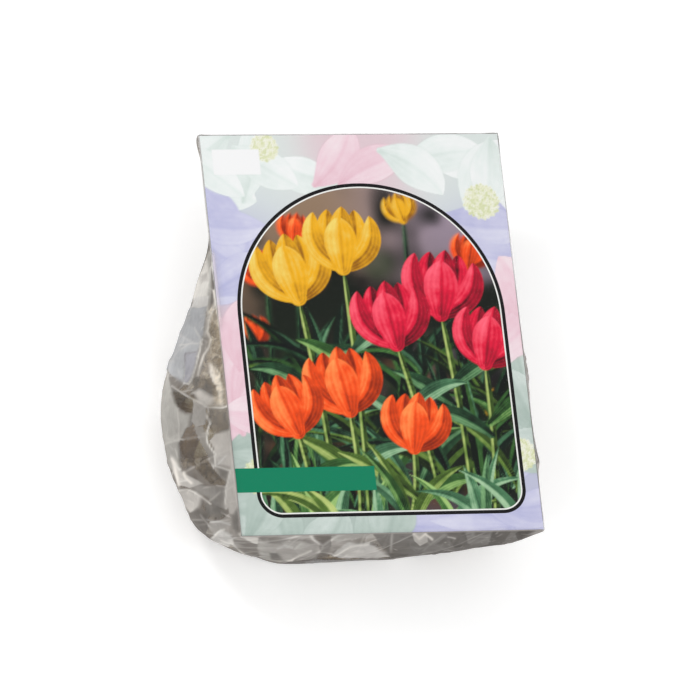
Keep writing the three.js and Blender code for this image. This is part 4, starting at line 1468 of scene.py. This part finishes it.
def arch_outline(inset, count=48):
    """Points of the arch's outline, moved in by inset."""
    radius = PANEL_RADIUS - inset
    corner = PANEL_CORNER - inset
    foot = PANEL_FOOT + inset
    points = [(PANEL_MIDDLE[0] + radius * math.cos(t), PANEL_MIDDLE[1] + radius * math.sin(t))
              for t in np.linspace(0, math.pi, 2 * count)]
    for sign, start in ((-1, math.pi), (1, 1.5 * math.pi)):
        for t in np.linspace(start, start + math.pi / 2, count // 2):
            points.append((PANEL_MIDDLE[0] + sign * (radius - corner) + corner * math.cos(t),
                           foot + corner + corner * math.sin(t)))
    return points


def print_material():
    """Coated picture card: printing ink under a satin varnish."""
    nodes = Nodes("printed_coated_card")
    where = nodes.coordinates()
    tone = nodes.add("Attribute", attribute_name="tone")
    fibre = nodes.add("TexNoise", {"Vector": where, "Scale": 1.8, "Detail": 3.0})
    shade = nodes.ramp(fibre.outputs[0], [(0.3, "#FAFAFA"), (0.7, "#FFFFFF")])
    colour = nodes.times(1.0, tone.outputs["Color"], shade)
    bump = nodes.add("Bump", {"Height": fibre.outputs[0], "Strength": 0.06, "Distance": 0.0001})
    return nodes.finish({"Base Color": colour, "Roughness": 0.42, "Specular IOR Level": 0.08,
                         "Normal": bump.outputs[0]})


def card_material():
    """Solid white board of the picture card, seen at its cut edge and back."""
    nodes = Nodes("white_solid_board")
    where = nodes.coordinates()
    fibre = nodes.add("TexNoise", {"Vector": where, "Scale": 0.8, "Detail": 5.0, "Roughness": 0.7})
    colour = nodes.ramp(fibre.outputs[0], [(0.3, "#DDDBD5"), (0.7, "#EFEEEA")])
    bump = nodes.add("Bump", {"Height": fibre.outputs[0], "Strength": 0.2, "Distance": 0.0001})
    return nodes.finish({"Base Color": colour, "Roughness": 0.7, "Normal": bump.outputs[0]})


def make_border(height, material):
    """The lines round the arch, and the two plain fields one layer above them."""
    points, tones, faces = [], [], []
    for inset, colour in PANEL_LINES:
        outline = arch_outline(inset)
        points += [(x, y, height) for x, y in outline]
        tones += [[*srgb(colour), 1]] * len(outline)
    count = len(outline)
    for first in (0, 2 * count):
        for i in range(count):
            after = (i + 1) % count
            faces.append([first + i, first + after, first + count + after, first + count + i])
    for (x0, y0), (x1, y1), colour in PLAIN_FIELDS:
        first = len(points)
        corners = ((x0, y0), (x1, y0), (x1, y1), (x0, y1))
        points += [(x, y, height + PRINT_LAYER) for x, y in corners]
        tones += [[*srgb(colour), 1]] * 4
        faces.append([first, first + 1, first + 2, first + 3])
    make_piece("print_border", points, faces, material, tones)


def make_print():
    """The print on the card's face, a fine grid with a colour per point, and the board under it."""
    face = card_high.z * 1000 + PRINT_GAP
    columns = round(2 * CARD_HALF[0] / PRINT_CELL)
    rows = round(2 * CARD_HALF[1] / PRINT_CELL)
    xs = np.linspace(-CARD_HALF[0], CARD_HALF[0], columns + 1)
    ys = np.linspace(-CARD_HALF[1], CARD_HALF[1], rows + 1)
    grid = np.stack(np.meshgrid(xs, ys), axis=-1).reshape(-1, 2)
    colours = paint_card(grid)
    row, column = np.divmod(np.arange(rows * columns), columns)
    first = row * (columns + 1) + column
    quads = np.column_stack([first, first + 1, first + columns + 2, first + columns + 1])
    in_panel = panel_gap(grid[quads].mean(axis=1)) > 0
    material = print_material()
    for name, chosen in (("print_picture", quads[in_panel]), ("print_ground", quads[~in_panel])):
        used, renamed = np.unique(chosen, return_inverse=True)
        points = np.column_stack([grid[used], np.full(len(used), face)])
        tones = np.column_stack([colours[used], np.ones(len(used))])
        make_piece(name, points, renamed.reshape(chosen.shape), material, tones)
    make_border(face + PRINT_LAYER, material)
    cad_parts["card"].material_slots[0].material = card_material()


make_bulbs()
make_print()
shavings = shavings_material()
make_bed(shavings)
make_curls(shavings)


# ---- Surroundings ----

def make_floor():
    """A wide white floor that glows a little, so that it ends in white."""
    nodes = Nodes("studio_floor")
    where = nodes.coordinates()
    grain = nodes.add("TexNoise", {"Vector": where, "Scale": 0.02, "Detail": 2.0})
    colour = nodes.ramp(grain.outputs[0], [(0.3, "#F8F8F8"), (0.7, "#FAFAFA")])
    mesh = bpy.data.meshes.new("floor")
    reach = 4.0
    corners = [(-reach, -reach, 0), (reach, -reach, 0), (reach, reach, 0), (-reach, reach, 0)]
    mesh.from_pydata(corners, [], [(0, 1, 2, 3)])
    mesh.materials.append(nodes.finish({
        "Base Color": colour, "Roughness": 0.9, "Emission Color": (1, 1, 1, 1),
        "Emission Strength": 0.27}))
    floor = bpy.data.objects.new("floor", mesh)
    bpy.context.scene.collection.objects.link(floor)


def make_light(name, place, aim, size, power):
    """An area light of the given size that shines at aim."""
    data = bpy.data.lights.new(name, "AREA")
    data.shape = "RECTANGLE"
    data.size, data.size_y = size
    data.energy = power
    light = bpy.data.objects.new(name, data)
    light.location = place
    light.rotation_euler = (Vector(aim) - Vector(place)).to_track_quat("-Z", "Y").to_euler()
    bpy.context.scene.collection.objects.link(light)


def make_world():
    """A grey room that is lighter overhead."""
    world = bpy.data.worlds.new("studio")
    world.use_nodes = True
    tree = world.node_tree
    way = add_node(tree, "TexCoord").outputs["Generated"]
    height = add_node(tree, "SeparateXYZ", {0: way}).outputs["Z"]
    ramp = add_node(tree, "ValToRGB", {"Fac": height})
    for element, place, value in zip(ramp.color_ramp.elements, (0.0, 0.9), (0.50, 0.86)):
        element.position = place
        element.color = (value, value, value, 1)
    tree.links.new(ramp.outputs["Color"], tree.nodes["Background"].inputs["Color"])
    bpy.context.scene.world = world
    bpy.context.scene.view_settings.view_transform = "Standard"


make_floor()
make_world()
make_light("key", (-1.1, 0.9, 1.5), (0, 0, 0.05), (0.4, 0.4), 9)
make_light("fill", (-1.4, -0.9, 0.8), (0, 0, 0.04), (0.14, 0.9), 4)
make_light("rim", (1.2, -0.7, 0.7), (0, 0, 0.04), (0.12, 0.8), 3)
